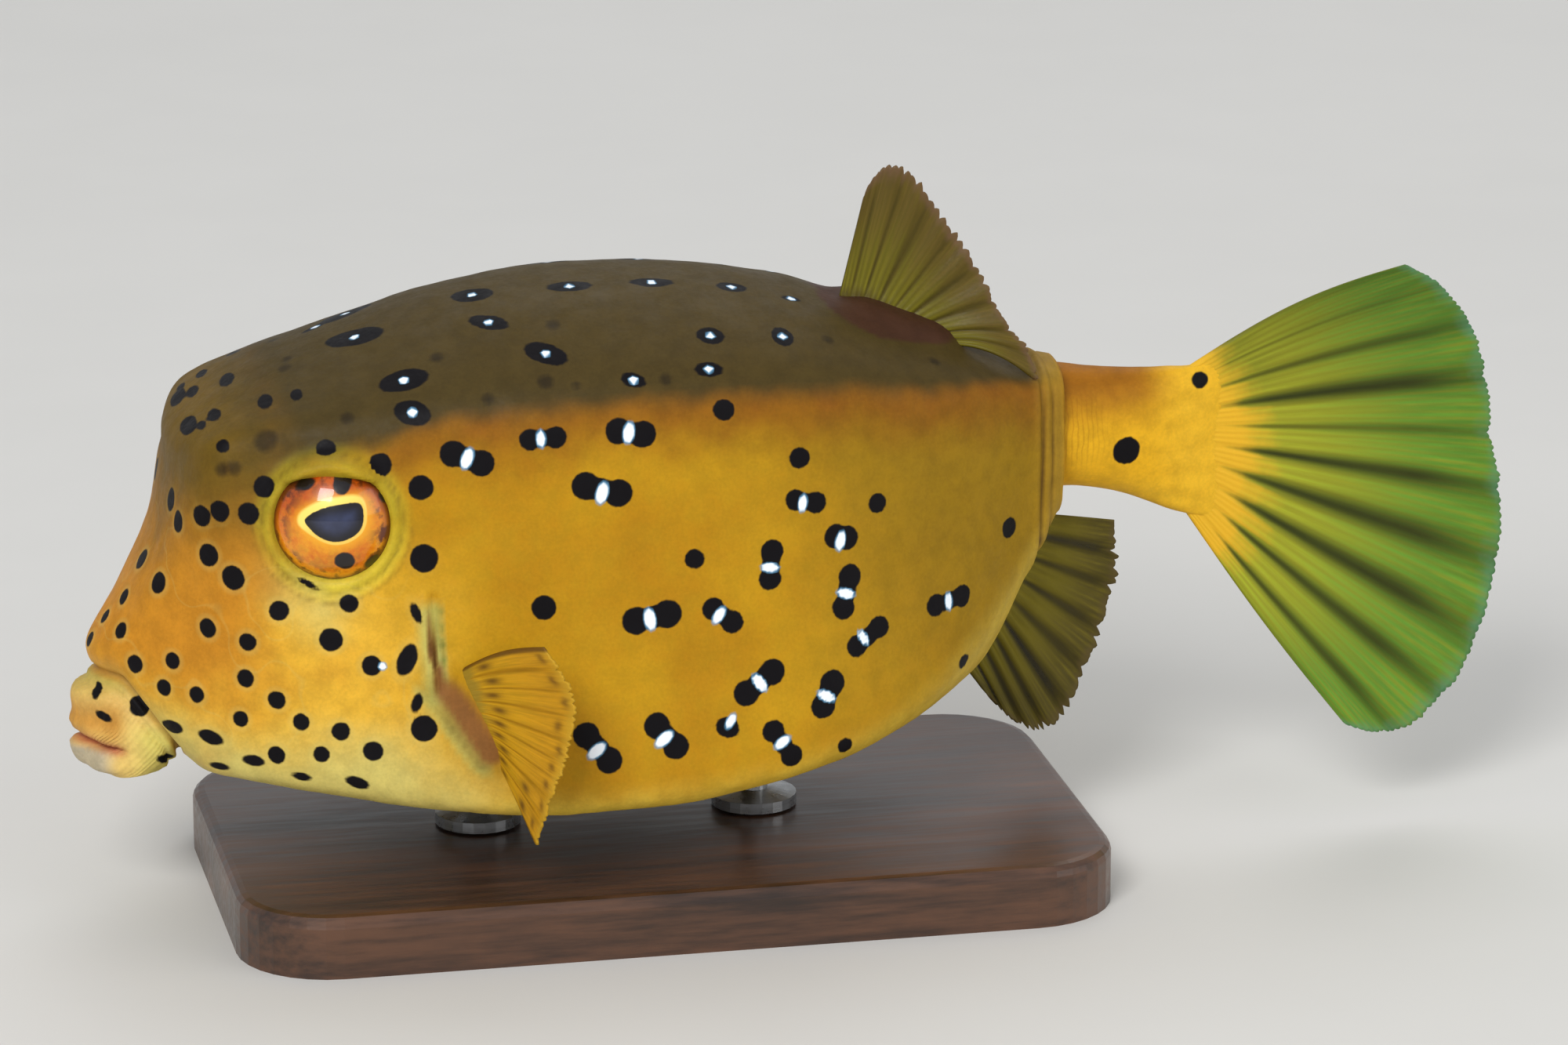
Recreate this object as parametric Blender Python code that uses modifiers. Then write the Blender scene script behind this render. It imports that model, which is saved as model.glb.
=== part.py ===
"""Yellow boxfish, a still life-size display model on a low stand.

The fish lies along X with its snout towards -X and its left side towards -Y.
The floor is Z = 0, under the middle of the whole model.
Shapes are worked out in the fish's own millimetres and moved into place as they are written.
"""

from dataclasses import dataclass
from math import cos, pi, radians, sin

import bmesh
import bpy
import numpy as np
from mathutils import Matrix, Vector
from mathutils.bvhtree import BVHTree

MM = 0.001
GAP = 0.3
COLLECTION_NAME = "yellow_boxfish"
CUTTER_COLLECTION_NAME = "cutters"

# Height of the fish's own zero line above the floor, and the shift that centres the model on X.
FISH_LIFT = 42.0
FISH_SHIFT = -2.365

# Carapace: where it is parted, and how finely it is lofted.
HEAD_CUT = 7.0
CUT_STEP = 0.02
STEPS_PER_STATION = 2
CROWN_POINTS = 7
FLANK_POINTS = 9
KEEL_POINTS = 6
OUTLINE_SAMPLES = 360

# Eye: a ball sunk in a socket, with a soft ring of skin round it.
EYE_RADIUS = 7.8
EYE_DEPTH = 5.8
EYE_CENTRE = (-60.6, 19.4, 13.6)
EYE_TOE_IN = radians(14.0)
LID_RING_RADIUS = 7.7
LID_RING_THICKNESS = 0.85
LID_RING_DEPTH = 2.4

# Grid columns to a ray: enough in the tail fin for each ray to fork.
TAIL_COLUMNS_PER_RAY = 4

# Share of a fin's height over which its thick root thins out.
ROOT_SWELL_REACH = 0.3

# Nostril: a low wart with a pore, in front of the eye.
NOSTRIL_PLACE = (-73.2, -17.0, 20.0)
NOSTRIL_OUT = (-0.37, -0.89, 0.27)
NOSTRIL_RADIUS = 1.1
NOSTRIL_HEIGHT = 0.6
PORE_RADIUS = 0.45
PORE_DEPTH = 1.2

# Gill: a soft upright flap with a slit behind it, just ahead of the pectoral fin.
GILL_PLACE = (-49.0, -24.7, -1.2)
GILL_RADII = (1.2, 1.4, 5.4)
GILL_SLIT_SHIFT = (1.0, -1.5, 0.2)
GILL_SLIT_RADII = (0.4, 1.7, 4.2)

# Muzzle: how far and which way it stands out of the mouth rim, its size against the rim at shares of
# that way, the flat of the chin, and the line of the mouth.
MUZZLE_REACH = (-4.9, 0.0, -7.6)
MUZZLE_SHAPE = ((0.05, 0.96), (0.25, 0.97), (0.5, 0.9), (0.7, 0.8), (0.85, 0.66), (0.95, 0.46), (1.0, 0.16))
CHIN_Z = -22.3
CHIN_FLATNESS = 0.35
MOUTH_LINE_Z = -18.9
MOUTH_PARTING_PLACE = (-92.0, 0.0, -18.9)
MOUTH_PARTING_RADII = (5.4, 8.0, 0.6)

# Tail stalk: x, middle height, half height and half width of its sections.
RIM_X = 34.5
STALK_END_X = 52.5
STALK_SHAPE = (
    (RIM_X + GAP, 14.6, 8.2, 5.4),
    (38.5, 14.2, 8.0, 5.2),
    (43.0, 13.4, 8.2, 4.6),
    (48.0, 12.4, 8.9, 3.6),
    (STALK_END_X, 11.4, 9.6, 2.5),
)
STALK_RINGS = 10
STALK_POINTS = 28

# Stand: a flat base and two short rods with a flange below and a saddle above.
BASE_SIZE = (112.0, 64.0, 8.0)
BASE_CENTRE_X = -18.0
BASE_CORNER_RADIUS = 12.0
BASE_EDGE_RADIUS = 1.5
ROD_RADIUS = 1.8
ROD_FLANGE = (5.5, 1.4)
ROD_SADDLE = (4.5, 2.6)
ROD_SINK = 2.5
ROD_PLACES = {"front": -40.0, "rear": -4.0}


# Colour, roughness and metallic value of each material.
LOOKS = {
    "skin_yellow": ((0.60, 0.33, 0.03), 0.45, 0.0),
    "lip_skin": ((0.66, 0.45, 0.16), 0.4, 0.0),
    "tail_skin": ((0.80, 0.38, 0.03), 0.45, 0.0),
    "fin_membrane": ((0.28, 0.34, 0.05), 0.4, 0.0),
    "eye_gloss": ((0.75, 0.20, 0.02), 0.1, 0.0),
    "stand_wood": ((0.09, 0.05, 0.03), 0.45, 0.0),
    "stand_metal": ((0.55, 0.56, 0.57), 0.3, 1.0),
}


@dataclass(frozen=True)
class Station:
    """One cross-section of the carapace, given by the lines that run along the body."""

    place: str
    crown: tuple
    upper_ridge: tuple
    lower_ridge: tuple
    keel: tuple
    flank_bow: float
    ridge_round: float


STATIONS = (
    Station("mouth rim", (-88.8, -9.6), (-85.4, 5.6, -9.7), (-79.4, 8.4, -17.6), (-78.2, -21.2), 0.8, 1.0),
    Station("nose", (-89.3, -6.2), (-86.2, 7.6, -5.8), (-78.2, 11.4, -18.9), (-76.4, -22.0), 1.2, 1.4),
    Station("snout", (-85.4, -0.2), (-83.0, 9.6, 0.4), (-76.4, 15.2, -19.8), (-74.2, -22.3), 1.4, 1.8),
    Station("bridge", (-81.2, 7.2), (-79.4, 11.8, 8.4), (-72.8, 18.2, -20.1), (-70.6, -22.6), 1.4, 2.0),
    Station("forehead", (-79.2, 15.4), (-77.4, 14.2, 16.8), (-68.6, 20.9, -20.4), (-66.8, -22.9), 1.2, 2.0),
    Station("brow", (-77.8, 21.8), (-74.4, 16.6, 23.4), (-63.6, 23.6, -20.9), (-62.0, -23.5), 0.8, 2.2),
    Station("nape", (-67.6, 28.6), (-65.0, 19.2, 25.6), (-57.8, 25.8, -21.7), (-56.6, -24.4), 0.4, 2.6),
    Station("gill", (-53.0, 34.0), (-51.6, 21.5, 26.7), (-51.0, 27.5, -22.8), (-50.2, -25.5), 0.0, 3.0),
    Station("shoulder", (-43.0, 36.8), (-42.0, 22.6, 27.2), (-39.0, 29.4, -24.0), (-38.6, -26.8), -0.6, 3.2),
    Station("chest", (-30.0, 38.6), (-30.0, 23.4, 28.0), (-26.0, 30.2, -24.0), (-26.0, -27.0), -0.8, 3.2),
    Station("middle", (-15.0, 38.2), (-15.0, 23.4, 28.2), (-14.0, 29.8, -23.2), (-14.0, -26.2), -0.8, 3.2),
    Station("loin", (-1.5, 36.0), (-2.0, 22.4, 28.0), (-2.0, 28.2, -21.0), (-2.0, -24.2), -0.6, 3.0),
    Station("fin root", (8.0, 32.8), (7.0, 20.4, 27.2), (8.0, 25.0, -18.2), (9.0, -22.0), -0.4, 2.8),
    Station("rump", (16.5, 29.4), (15.5, 17.6, 25.8), (16.0, 20.4, -14.2), (18.2, -19.6), 0.0, 2.6),
    Station("vent", (23.5, 26.6), (22.4, 14.4, 24.0), (22.4, 15.8, -9.0), (25.0, -15.6), 0.2, 2.4),
    Station("anal root", (29.4, 24.8), (28.8, 10.6, 22.4), (28.4, 10.8, -3.0), (29.8, -7.4), 0.2, 2.0),
    Station("tail rim", (RIM_X, 23.8), (RIM_X, 6.8, 21.6), (RIM_X, 6.8, 5.4), (RIM_X, 2.4), 0.2, 1.6),
)
LAST_STATION = len(STATIONS) - 1


@dataclass(frozen=True)
class Fin:
    """A fan of rays between a root line and a free edge, both given by a few points."""

    root: tuple
    edge: tuple
    rays: int
    rows: tuple
    membrane: float
    ridge: float
    tip_membrane: float
    root_swell: float
    branch_at: float
    sweep: float = 0.0


DORSAL = Fin(
    root=((6.2, 0.0, 30.4), (14.0, 0.0, 27.8), (22.0, 0.0, 24.8), (31.6, 0.0, 21.8)),
    edge=((8.4, 0.0, 41.0), (12.6, 0.0, 49.4), (15.8, 0.0, 48.8), (22.4, 0.0, 39.8), (27.6, 0.0, 29.6),
          (32.8, 0.0, 25.0)),
    rays=9, rows=(0.0, 0.08, 0.18, 0.34, 0.52, 0.7, 0.86, 1.0),
    membrane=0.6, ridge=0.7, tip_membrane=0.45, root_swell=3.4, branch_at=2.0, sweep=-2.2,
)
ANAL = Fin(
    root=((32.4, 0.0, 2.8), (28.8, 0.0, -4.4), (26.2, 0.0, -10.6), (22.6, 0.0, -15.8)),
    edge=((43.4, 0.0, 1.2), (43.6, 0.0, -7.0), (40.8, 0.0, -16.9), (36.4, 0.0, -25.6), (31.4, 0.0, -25.8),
          (26.4, 0.0, -20.9)),
    rays=9, rows=(0.0, 0.1, 0.24, 0.42, 0.6, 0.8, 1.0),
    membrane=0.6, ridge=0.7, tip_membrane=0.45, root_swell=2.4, branch_at=2.0, sweep=1.0,
)
TAIL = Fin(
    root=((STALK_END_X + GAP, 0.0, 21.0), (STALK_END_X + GAP, 0.0, 11.4), (STALK_END_X + GAP, 0.0, 1.8)),
    edge=((84.0, 0.0, 33.0), (91.3, 0.0, 24.7), (94.1, 0.0, 12.6), (95.7, 0.0, 0.0), (94.6, 0.0, -13.0),
          (89.2, 0.0, -24.4), (81.4, 0.0, -29.8), (73.8, 0.0, -28.4)),
    rays=10, rows=(0.0, 0.08, 0.2, 0.34, 0.48, 0.62, 0.78, 0.9, 1.0),
    membrane=0.6, ridge=0.8, tip_membrane=0.45, root_swell=3.2, branch_at=0.5, sweep=1.5,
)
PECTORAL = Fin(
    root=((-49.9, -24.4, -5.0), (-45.7, -25.4, -10.4), (-42.0, -26.4, -15.8)),
    edge=((-37.6, -36.6, 0.8), (-34.6, -38.0, -5.0), (-35.4, -38.2, -12.0), (-37.1, -37.2, -17.6),
          (-38.6, -35.2, -25.2)),
    rays=9, rows=(0.0, 0.12, 0.26, 0.42, 0.6, 0.8, 1.0),
    membrane=0.6, ridge=0.6, tip_membrane=0.45, root_swell=3.0, branch_at=2.0, sweep=-1.6,
)


def remove_scene_objects():
    """Empty the scene of what it starts with."""
    for obj in list(bpy.data.objects):
        bpy.data.objects.remove(obj, do_unlink=True)


def make_collection(name):
    """Add a collection to the scene."""
    collection = bpy.data.collections.new(name)
    bpy.context.scene.collection.children.link(collection)
    return collection


def make_material(name, colour, roughness, metallic):
    """Make a plain Principled material."""
    material = bpy.data.materials.new(name)
    material.use_nodes = True
    shader = material.node_tree.nodes["Principled BSDF"]
    shader.inputs["Base Color"].default_value = (*colour, 1.0)
    shader.inputs["Roughness"].default_value = roughness
    shader.inputs["Metallic"].default_value = metallic
    return material


def placed(point):
    """Turn a point in the fish's millimetres into metres above the floor."""
    return Vector(((point[0] + FISH_SHIFT) * MM, point[1] * MM, (point[2] + FISH_LIFT) * MM))


def spline(keys, t):
    """Read a Catmull-Rom curve through evenly spaced keys at t, from 0 to the last key's number."""
    keys = np.asarray(keys, dtype=float)
    last = len(keys) - 1
    i = int(min(max(np.floor(t), 0), last - 1))
    f = t - i
    before = keys[i - 1] if i > 0 else 2 * keys[0] - keys[1]
    after = keys[i + 2] if i + 2 <= last else 2 * keys[last] - keys[last - 1]
    a, b = keys[i], keys[i + 1]
    return 0.5 * (2 * a + (b - before) * f + (2 * before - 5 * a + 4 * b - after) * f**2
                  + (3 * a - before - 3 * b + after) * f**3)


def along(keys, share):
    """Read a curve through keys at a share of its run, from 0 to 1."""
    return spline(keys, share * (len(keys) - 1))


def half_outline(t):
    """Give the unrounded half of the section at t on +Y, from crown to keel, a third to each face."""
    crown = spline([s.crown for s in STATIONS], t)
    upper = spline([s.upper_ridge for s in STATIONS], t)
    lower = spline([s.lower_ridge for s in STATIONS], t)
    keel = spline([s.keel for s in STATIONS], t)
    bow = float(spline([(s.flank_bow,) for s in STATIONS], t)[0])
    n = OUTLINE_SAMPLES // 6
    share = np.linspace(0.0, 1.0, n, endpoint=False)
    arch = 1.0 - share**2
    top = np.stack((upper[0] + (crown[0] - upper[0]) * arch, upper[1] * share,
                    upper[2] + (crown[1] - upper[2]) * arch), axis=1)
    side = upper + (lower - upper) * share[:, None]
    side[:, 1] += bow * 4.0 * share * (1.0 - share)
    share = np.linspace(0.0, 1.0, n + 1)
    sag = 1.0 - (1.0 - share)**2
    under = np.stack((lower[0] + (keel[0] - lower[0]) * sag, lower[1] * (1.0 - share),
                      lower[2] + (keel[1] - lower[2]) * sag), axis=1)
    return np.concatenate((top, side, under))


def section(t):
    """Give the closed section at t as points in order round the body, its ridges rounded."""
    half = half_outline(t)
    mirrored = half[-2:0:-1] * (1.0, -1.0, 1.0)
    ring = np.concatenate((half, mirrored))
    closed = np.concatenate((ring, ring[:1]))
    run = np.concatenate(([0.0], np.cumsum(np.linalg.norm(np.diff(closed, axis=0), axis=1))))
    even = np.linspace(0.0, run[-1], OUTLINE_SAMPLES, endpoint=False)
    points = np.stack([np.interp(even, run, closed[:, axis]) for axis in range(3)], axis=1)
    width = float(spline([(s.ridge_round,) for s in STATIONS], t)[0]) * OUTLINE_SAMPLES / run[-1]
    reach = np.minimum(np.arange(OUTLINE_SAMPLES), OUTLINE_SAMPLES - np.arange(OUTLINE_SAMPLES))
    weight = np.exp(-0.5 * (reach / width)**2)
    weight /= weight.sum()
    rounded = np.fft.ifft(np.fft.fft(points, axis=0) * np.fft.fft(weight)[:, None], axis=0).real
    n = OUTLINE_SAMPLES // 6
    ridge_at = run[n] / run[-1]
    lower_at = run[2 * n] / run[-1]
    half_shares = np.concatenate((
        np.linspace(0.0, ridge_at, CROWN_POINTS, endpoint=False),
        np.linspace(ridge_at, lower_at, FLANK_POINTS, endpoint=False),
        np.linspace(lower_at, 0.5, KEEL_POINTS + 1),
    ))
    shares = np.concatenate((half_shares, 1.0 - half_shares[-2:0:-1]))
    places = np.arange(OUTLINE_SAMPLES + 1) / OUTLINE_SAMPLES
    looped = np.concatenate((rounded, rounded[:1]))
    return np.stack([np.interp(shares, places, looped[:, axis]) for axis in range(3)], axis=1)


def body_grid(start, end, grow=0.0):
    """Give the carapace's sections from start to end, pushed outwards by grow."""
    count = max(2, round((end - start) * STEPS_PER_STATION) + 1)
    grid = np.array([section(t) for t in np.linspace(start, end, count)])
    if grow:
        lengthwise = np.gradient(grid, axis=0)
        round_body = np.roll(grid, -1, axis=1) - np.roll(grid, 1, axis=1)
        normal = np.cross(lengthwise, round_body)
        normal /= np.linalg.norm(normal, axis=2, keepdims=True)
        grid = grid + normal * grow
    return grid


def loft(name, grid):
    """Skin a grid of closed rings with quads and close both ends with fans."""
    rings, points = grid.shape[:2]
    mesh = bmesh.new()
    verts = [[mesh.verts.new(placed(p)) for p in ring] for ring in grid]
    for i in range(rings - 1):
        for j in range(points):
            k = (j + 1) % points
            mesh.faces.new((verts[i][j], verts[i + 1][j], verts[i + 1][k], verts[i][k]))
    for ring, centre in ((verts[0], grid[0].mean(axis=0)), (verts[-1], grid[-1].mean(axis=0))):
        hub = mesh.verts.new(placed(centre))
        for j in range(points):
            mesh.faces.new((ring[j], ring[(j + 1) % points], hub))
    bmesh.ops.recalc_face_normals(mesh, faces=mesh.faces)
    bmesh.ops.triangulate(mesh, faces=mesh.faces, quad_method="SHORT_EDGE")
    return to_object(name, mesh)


def to_object(name, mesh):
    """Turn a bmesh into an object of that name, with its faces pointing out."""
    bmesh.ops.recalc_face_normals(mesh, faces=mesh.faces)
    data = bpy.data.meshes.new(name)
    mesh.to_mesh(data)
    mesh.free()
    return bpy.data.objects.new(name, data)


def finish_node(obj, material, collection):
    """Put a node in its collection, dress it and shade it smooth."""
    collection.objects.link(obj)
    obj.data.materials.clear()
    obj.data.materials.append(material)
    obj.data.shade_smooth()
    obj.data.set_sharp_from_angle(angle=radians(40.0))


def hide_cutter(obj, collection):
    """Keep a cutter out of the model."""
    collection.objects.link(obj)
    obj.hide_render = True
    obj.display_type = "WIRE"


def apply_modifiers(obj):
    """Replace an object's mesh by what its modifiers make of it."""
    scene_objects = bpy.context.scene.collection.objects
    scene_objects.link(obj)
    bpy.context.view_layer.update()
    depsgraph = bpy.context.evaluated_depsgraph_get()
    mesh = bpy.data.meshes.new_from_object(obj.evaluated_get(depsgraph))
    obj.modifiers.clear()
    obj.data = mesh
    scene_objects.unlink(obj)


def cut(obj, cutters):
    """Cut each cutter out of a node."""
    for cutter in cutters:
        modifier = obj.modifiers.new("cut", "BOOLEAN")
        modifier.operation = "DIFFERENCE"
        modifier.solver = "EXACT"
        modifier.object = cutter
    apply_modifiers(obj)
    keep_largest(obj)


def fuse(obj, pieces):
    """Join closed pieces to a node with one union and remove them."""
    group = make_collection("pieces")
    for piece in pieces:
        group.objects.link(piece)
    modifier = obj.modifiers.new("fuse", "BOOLEAN")
    modifier.operation = "UNION"
    modifier.solver = "EXACT"
    modifier.operand_type = "COLLECTION"
    modifier.collection = group
    apply_modifiers(obj)
    for piece in pieces:
        bpy.data.objects.remove(piece, do_unlink=True)
    bpy.data.collections.remove(group)
    keep_largest(obj)


def keep_largest(obj):
    """Keep only the largest closed surface of a node."""
    mesh = bmesh.new()
    mesh.from_mesh(obj.data)
    bmesh.ops.remove_doubles(mesh, verts=mesh.verts, dist=1e-6)
    bmesh.ops.dissolve_degenerate(mesh, dist=1e-6, edges=mesh.edges)
    left = set(mesh.verts)
    islands = []
    while left:
        seed = left.pop()
        island = {seed}
        queue = [seed]
        while queue:
            for edge in queue.pop().link_edges:
                for vert in edge.verts:
                    if vert in left:
                        left.remove(vert)
                        island.add(vert)
                        queue.append(vert)
        islands.append(island)
    largest = max(islands, key=surface_span)
    loose = [vert for island in islands if island is not largest for vert in island]
    bmesh.ops.delete(mesh, geom=loose, context="VERTS")
    bmesh.ops.triangulate(mesh, faces=mesh.faces)
    mesh.to_mesh(obj.data)
    mesh.free()


def surface_span(verts):
    """Measure how far a set of vertices reaches, as the diagonal of its box."""
    places = np.array([vert.co for vert in verts])
    return float(np.linalg.norm(places.max(axis=0) - places.min(axis=0)))


def turn_out(direction):
    """Give the rotation that turns +Z to a direction."""
    return Vector(direction).to_track_quat("Z", "Y").to_matrix()


def ball(name, centre, radii, turn=None, segments=24, rings=14):
    """Make an ellipsoid from a UV sphere, turned and then placed."""
    mesh = bmesh.new()
    bmesh.ops.create_uvsphere(mesh, u_segments=segments, v_segments=rings, radius=1.0)
    turn = turn or Matrix.Identity(3)
    for vert in mesh.verts:
        shaped = turn @ Vector((vert.co.x * radii[0], vert.co.y * radii[1], vert.co.z * radii[2]))
        vert.co = placed(shaped + Vector(centre))
    return to_object(name, mesh)


def mirrored(obj, name):
    """Copy a left-hand piece to the right-hand side."""
    mesh = bmesh.new()
    mesh.from_mesh(obj.data)
    for vert in mesh.verts:
        vert.co.y = -vert.co.y
    bmesh.ops.reverse_faces(mesh, faces=mesh.faces)
    return to_object(name, mesh)


def left_side(point):
    """Give a point's place on the fish's left side."""
    return Vector((point[0], -abs(point[1]), point[2]))


def eye_axis():
    """Give the direction in which the left eye looks."""
    return Vector((-sin(EYE_TOE_IN), -cos(EYE_TOE_IN), 0.0))


def lid_ring(name):
    """Make the soft ring of skin round the left eye."""
    mesh = bmesh.new()
    around, across = 28, 8
    axis = eye_axis()
    turn = turn_out(axis)
    centre = left_side(EYE_CENTRE) + axis * LID_RING_DEPTH
    verts = []
    for i in range(around):
        angle = 2 * pi * i / around
        ring = []
        for j in range(across):
            bend = 2 * pi * j / across
            reach = LID_RING_RADIUS + LID_RING_THICKNESS * cos(bend)
            spot = Vector((reach * cos(angle), reach * sin(angle), LID_RING_THICKNESS * sin(bend)))
            ring.append(mesh.verts.new(placed(turn @ spot + centre)))
        verts.append(ring)
    for i in range(around):
        for j in range(across):
            i2, j2 = (i + 1) % around, (j + 1) % across
            mesh.faces.new((verts[i][j], verts[i2][j], verts[i2][j2], verts[i][j2]))
    return to_object(name, mesh)


def fin_surface(fin, u, v):
    """Give a point of a fin's middle surface, u across the rays and v from root to edge."""
    root = along(fin.root, u)
    edge = along(fin.edge, u)
    point = root + (edge - root) * v
    point[1] += fin.sweep * sin(pi * v / 2) ** 2 * sin(pi * u)
    return point


def fin_thickness(fin, column, columns_per_ray, columns, v):
    """Give a fin's full thickness at one grid column and height, raised along its rays."""
    u = column / (columns - 1)
    place = column % columns_per_ray
    centre = columns_per_ray // 2
    if v > fin.branch_at and columns_per_ray > 2:
        raised = 0.9 if place in (centre - 1, (centre + 1) % columns_per_ray) else 0.1
    else:
        raised = 1.0 if place == centre else 0.0
    sheet = fin.membrane + (fin.tip_membrane - fin.membrane) * v
    taper = 1.0 - 0.75 * v
    swell = fin.root_swell * max(0.0, 1.0 - v / ROOT_SWELL_REACH) ** 2 * sin(pi * u) ** 0.5
    rim = 0.7 if column in (0, columns - 1) else 1.0
    return (sheet + fin.ridge * taper * raised) * rim + swell


def fin_node(name, fin, columns_per_ray=2):
    """Build a fin: two faces alike, ridged along its rays, joined round their border."""
    columns = fin.rays * columns_per_ray + 1
    us = np.linspace(0.0, 1.0, columns)
    middle = np.array([[fin_surface(fin, u, v) for v in fin.rows] for u in us])
    normal = np.cross(np.gradient(middle, axis=0), np.gradient(middle, axis=1))
    normal /= np.linalg.norm(normal, axis=2, keepdims=True)
    mesh = bmesh.new()
    faces = {}
    for side in (-1, 1):
        for i in range(columns):
            for j, v in enumerate(fin.rows):
                half = 0.5 * fin_thickness(fin, i, columns_per_ray, columns, v)
                faces[side, i, j] = mesh.verts.new(placed(middle[i, j] + side * half * normal[i, j]))
    rows = len(fin.rows)
    for side in (-1, 1):
        for i in range(columns - 1):
            for j in range(rows - 1):
                a, b = faces[side, i, j], faces[side, i + 1, j]
                c, d = faces[side, i + 1, j + 1], faces[side, i, j + 1]
                mesh.faces.new((a, b, c))
                mesh.faces.new((a, c, d))
    border = [(i, 0) for i in range(columns)] + [(columns - 1, j) for j in range(1, rows)]
    border += [(i, rows - 1) for i in range(columns - 2, -1, -1)] + [(0, j) for j in range(rows - 2, 0, -1)]
    for here, there in zip(border, border[1:] + border[:1]):
        a, b = faces[(-1, *here)], faces[(-1, *there)]
        c, d = faces[(1, *there)], faces[(1, *here)]
        mesh.faces.new((a, b, c))
        mesh.faces.new((a, c, d))
    return to_object(name, mesh)


def stalk_grid():
    """Give the tail stalk's sections: rounded, deep and narrowing to the tail fin."""
    grid = []
    for t in np.linspace(0.0, len(STALK_SHAPE) - 1, STALK_RINGS):
        x, middle, half_height, half_width = spline(STALK_SHAPE, t)
        angles = np.linspace(0.0, 2 * pi, STALK_POINTS, endpoint=False)
        grid.append([(x, half_width * sin(a), middle + half_height * cos(a)) for a in angles])
    return np.array(grid)


def muzzle_grid():
    """Give the soft muzzle's sections, from the carapace's mouth rim out to the lips."""
    rim = section(0.0)
    centre = rim.mean(axis=0)
    grid = np.array([centre + (rim - centre) * scale + np.array(MUZZLE_REACH) * share
                     for share, scale in MUZZLE_SHAPE])
    under_chin = grid[:, :, 2] < CHIN_Z
    grid[:, :, 2][under_chin] = CHIN_Z + (grid[:, :, 2][under_chin] - CHIN_Z) * CHIN_FLATNESS
    return grid


def block(name, low, high):
    """Make a box from a cube between two corners."""
    mesh = bmesh.new()
    bmesh.ops.create_cube(mesh, size=1.0)
    for vert in mesh.verts:
        corner = [high[axis] if vert.co[axis] > 0 else low[axis] for axis in range(3)]
        vert.co = placed(corner)
    return to_object(name, mesh)


def build_stand(materials, collection, belly, clearance):
    """Make the flat base and the rods that end in saddles under the belly."""
    base_bottom = -FISH_LIFT
    base_top = base_bottom + BASE_SIZE[2]
    mesh = bmesh.new()
    bmesh.ops.create_cube(mesh, size=1.0)
    for vert in mesh.verts:
        place = (vert.co.x * BASE_SIZE[0] + BASE_CENTRE_X, vert.co.y * BASE_SIZE[1],
                 (vert.co.z + 0.5) * BASE_SIZE[2] + base_bottom)
        vert.co = placed(place)
    upright = [e for e in mesh.edges if abs(e.verts[0].co.z - e.verts[1].co.z) > MM]
    bmesh.ops.bevel(mesh, geom=upright, offset=BASE_CORNER_RADIUS * MM, segments=8, profile=0.5,
                    affect="EDGES")
    top = placed((0.0, 0.0, base_top)).z
    rim = [e for e in mesh.edges if all(abs(v.co.z - top) < 1e-7 for v in e.verts)]
    bmesh.ops.bevel(mesh, geom=rim, offset=BASE_EDGE_RADIUS * MM, segments=3, profile=0.5, affect="EDGES")
    base = to_object("stand_base", mesh)
    finish_node(base, materials["stand_wood"], collection)

    for place, x in ROD_PLACES.items():
        hit = belly.ray_cast(placed((x, 0.0, base_top)), Vector((0.0, 0.0, 1.0)))[0]
        belly_z = hit.z / MM - FISH_LIFT
        foot = base_top + GAP
        profile = (
            (0.0, belly_z + ROD_SINK), (ROD_SADDLE[0], belly_z + ROD_SINK),
            (ROD_SADDLE[0], belly_z - 0.9), (ROD_RADIUS, belly_z - ROD_SADDLE[1]),
            (ROD_RADIUS, foot + ROD_FLANGE[1] + 0.6), (ROD_FLANGE[0], foot + ROD_FLANGE[1]),
            (ROD_FLANGE[0], foot), (0.0, foot),
        )
        turned = bmesh.new()
        points = [turned.verts.new((r * MM, 0.0, (z + FISH_LIFT) * MM)) for r, z in profile]
        for a, b in zip(points, points[1:]):
            turned.edges.new((a, b))
        data = bpy.data.meshes.new("rod")
        turned.to_mesh(data)
        turned.free()
        rod = bpy.data.objects.new(f"stand_rod_{place}", data)
        screw = rod.modifiers.new("turn", "SCREW")
        screw.axis = "Z"
        screw.steps = 24
        screw.render_steps = 24
        screw.use_merge_vertices = True
        screw.merge_threshold = 0.00001
        screw.use_normal_calculate = True
        apply_modifiers(rod)
        rod.data.transform(Matrix.Translation(((x + FISH_SHIFT) * MM, 0.0, 0.0)))
        shell = bmesh.new()
        shell.from_mesh(rod.data)
        bmesh.ops.recalc_face_normals(shell, faces=shell.faces)
        shell.to_mesh(rod.data)
        shell.free()
        cut(rod, [clearance])
        finish_node(rod, materials["stand_metal"], collection)


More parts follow.
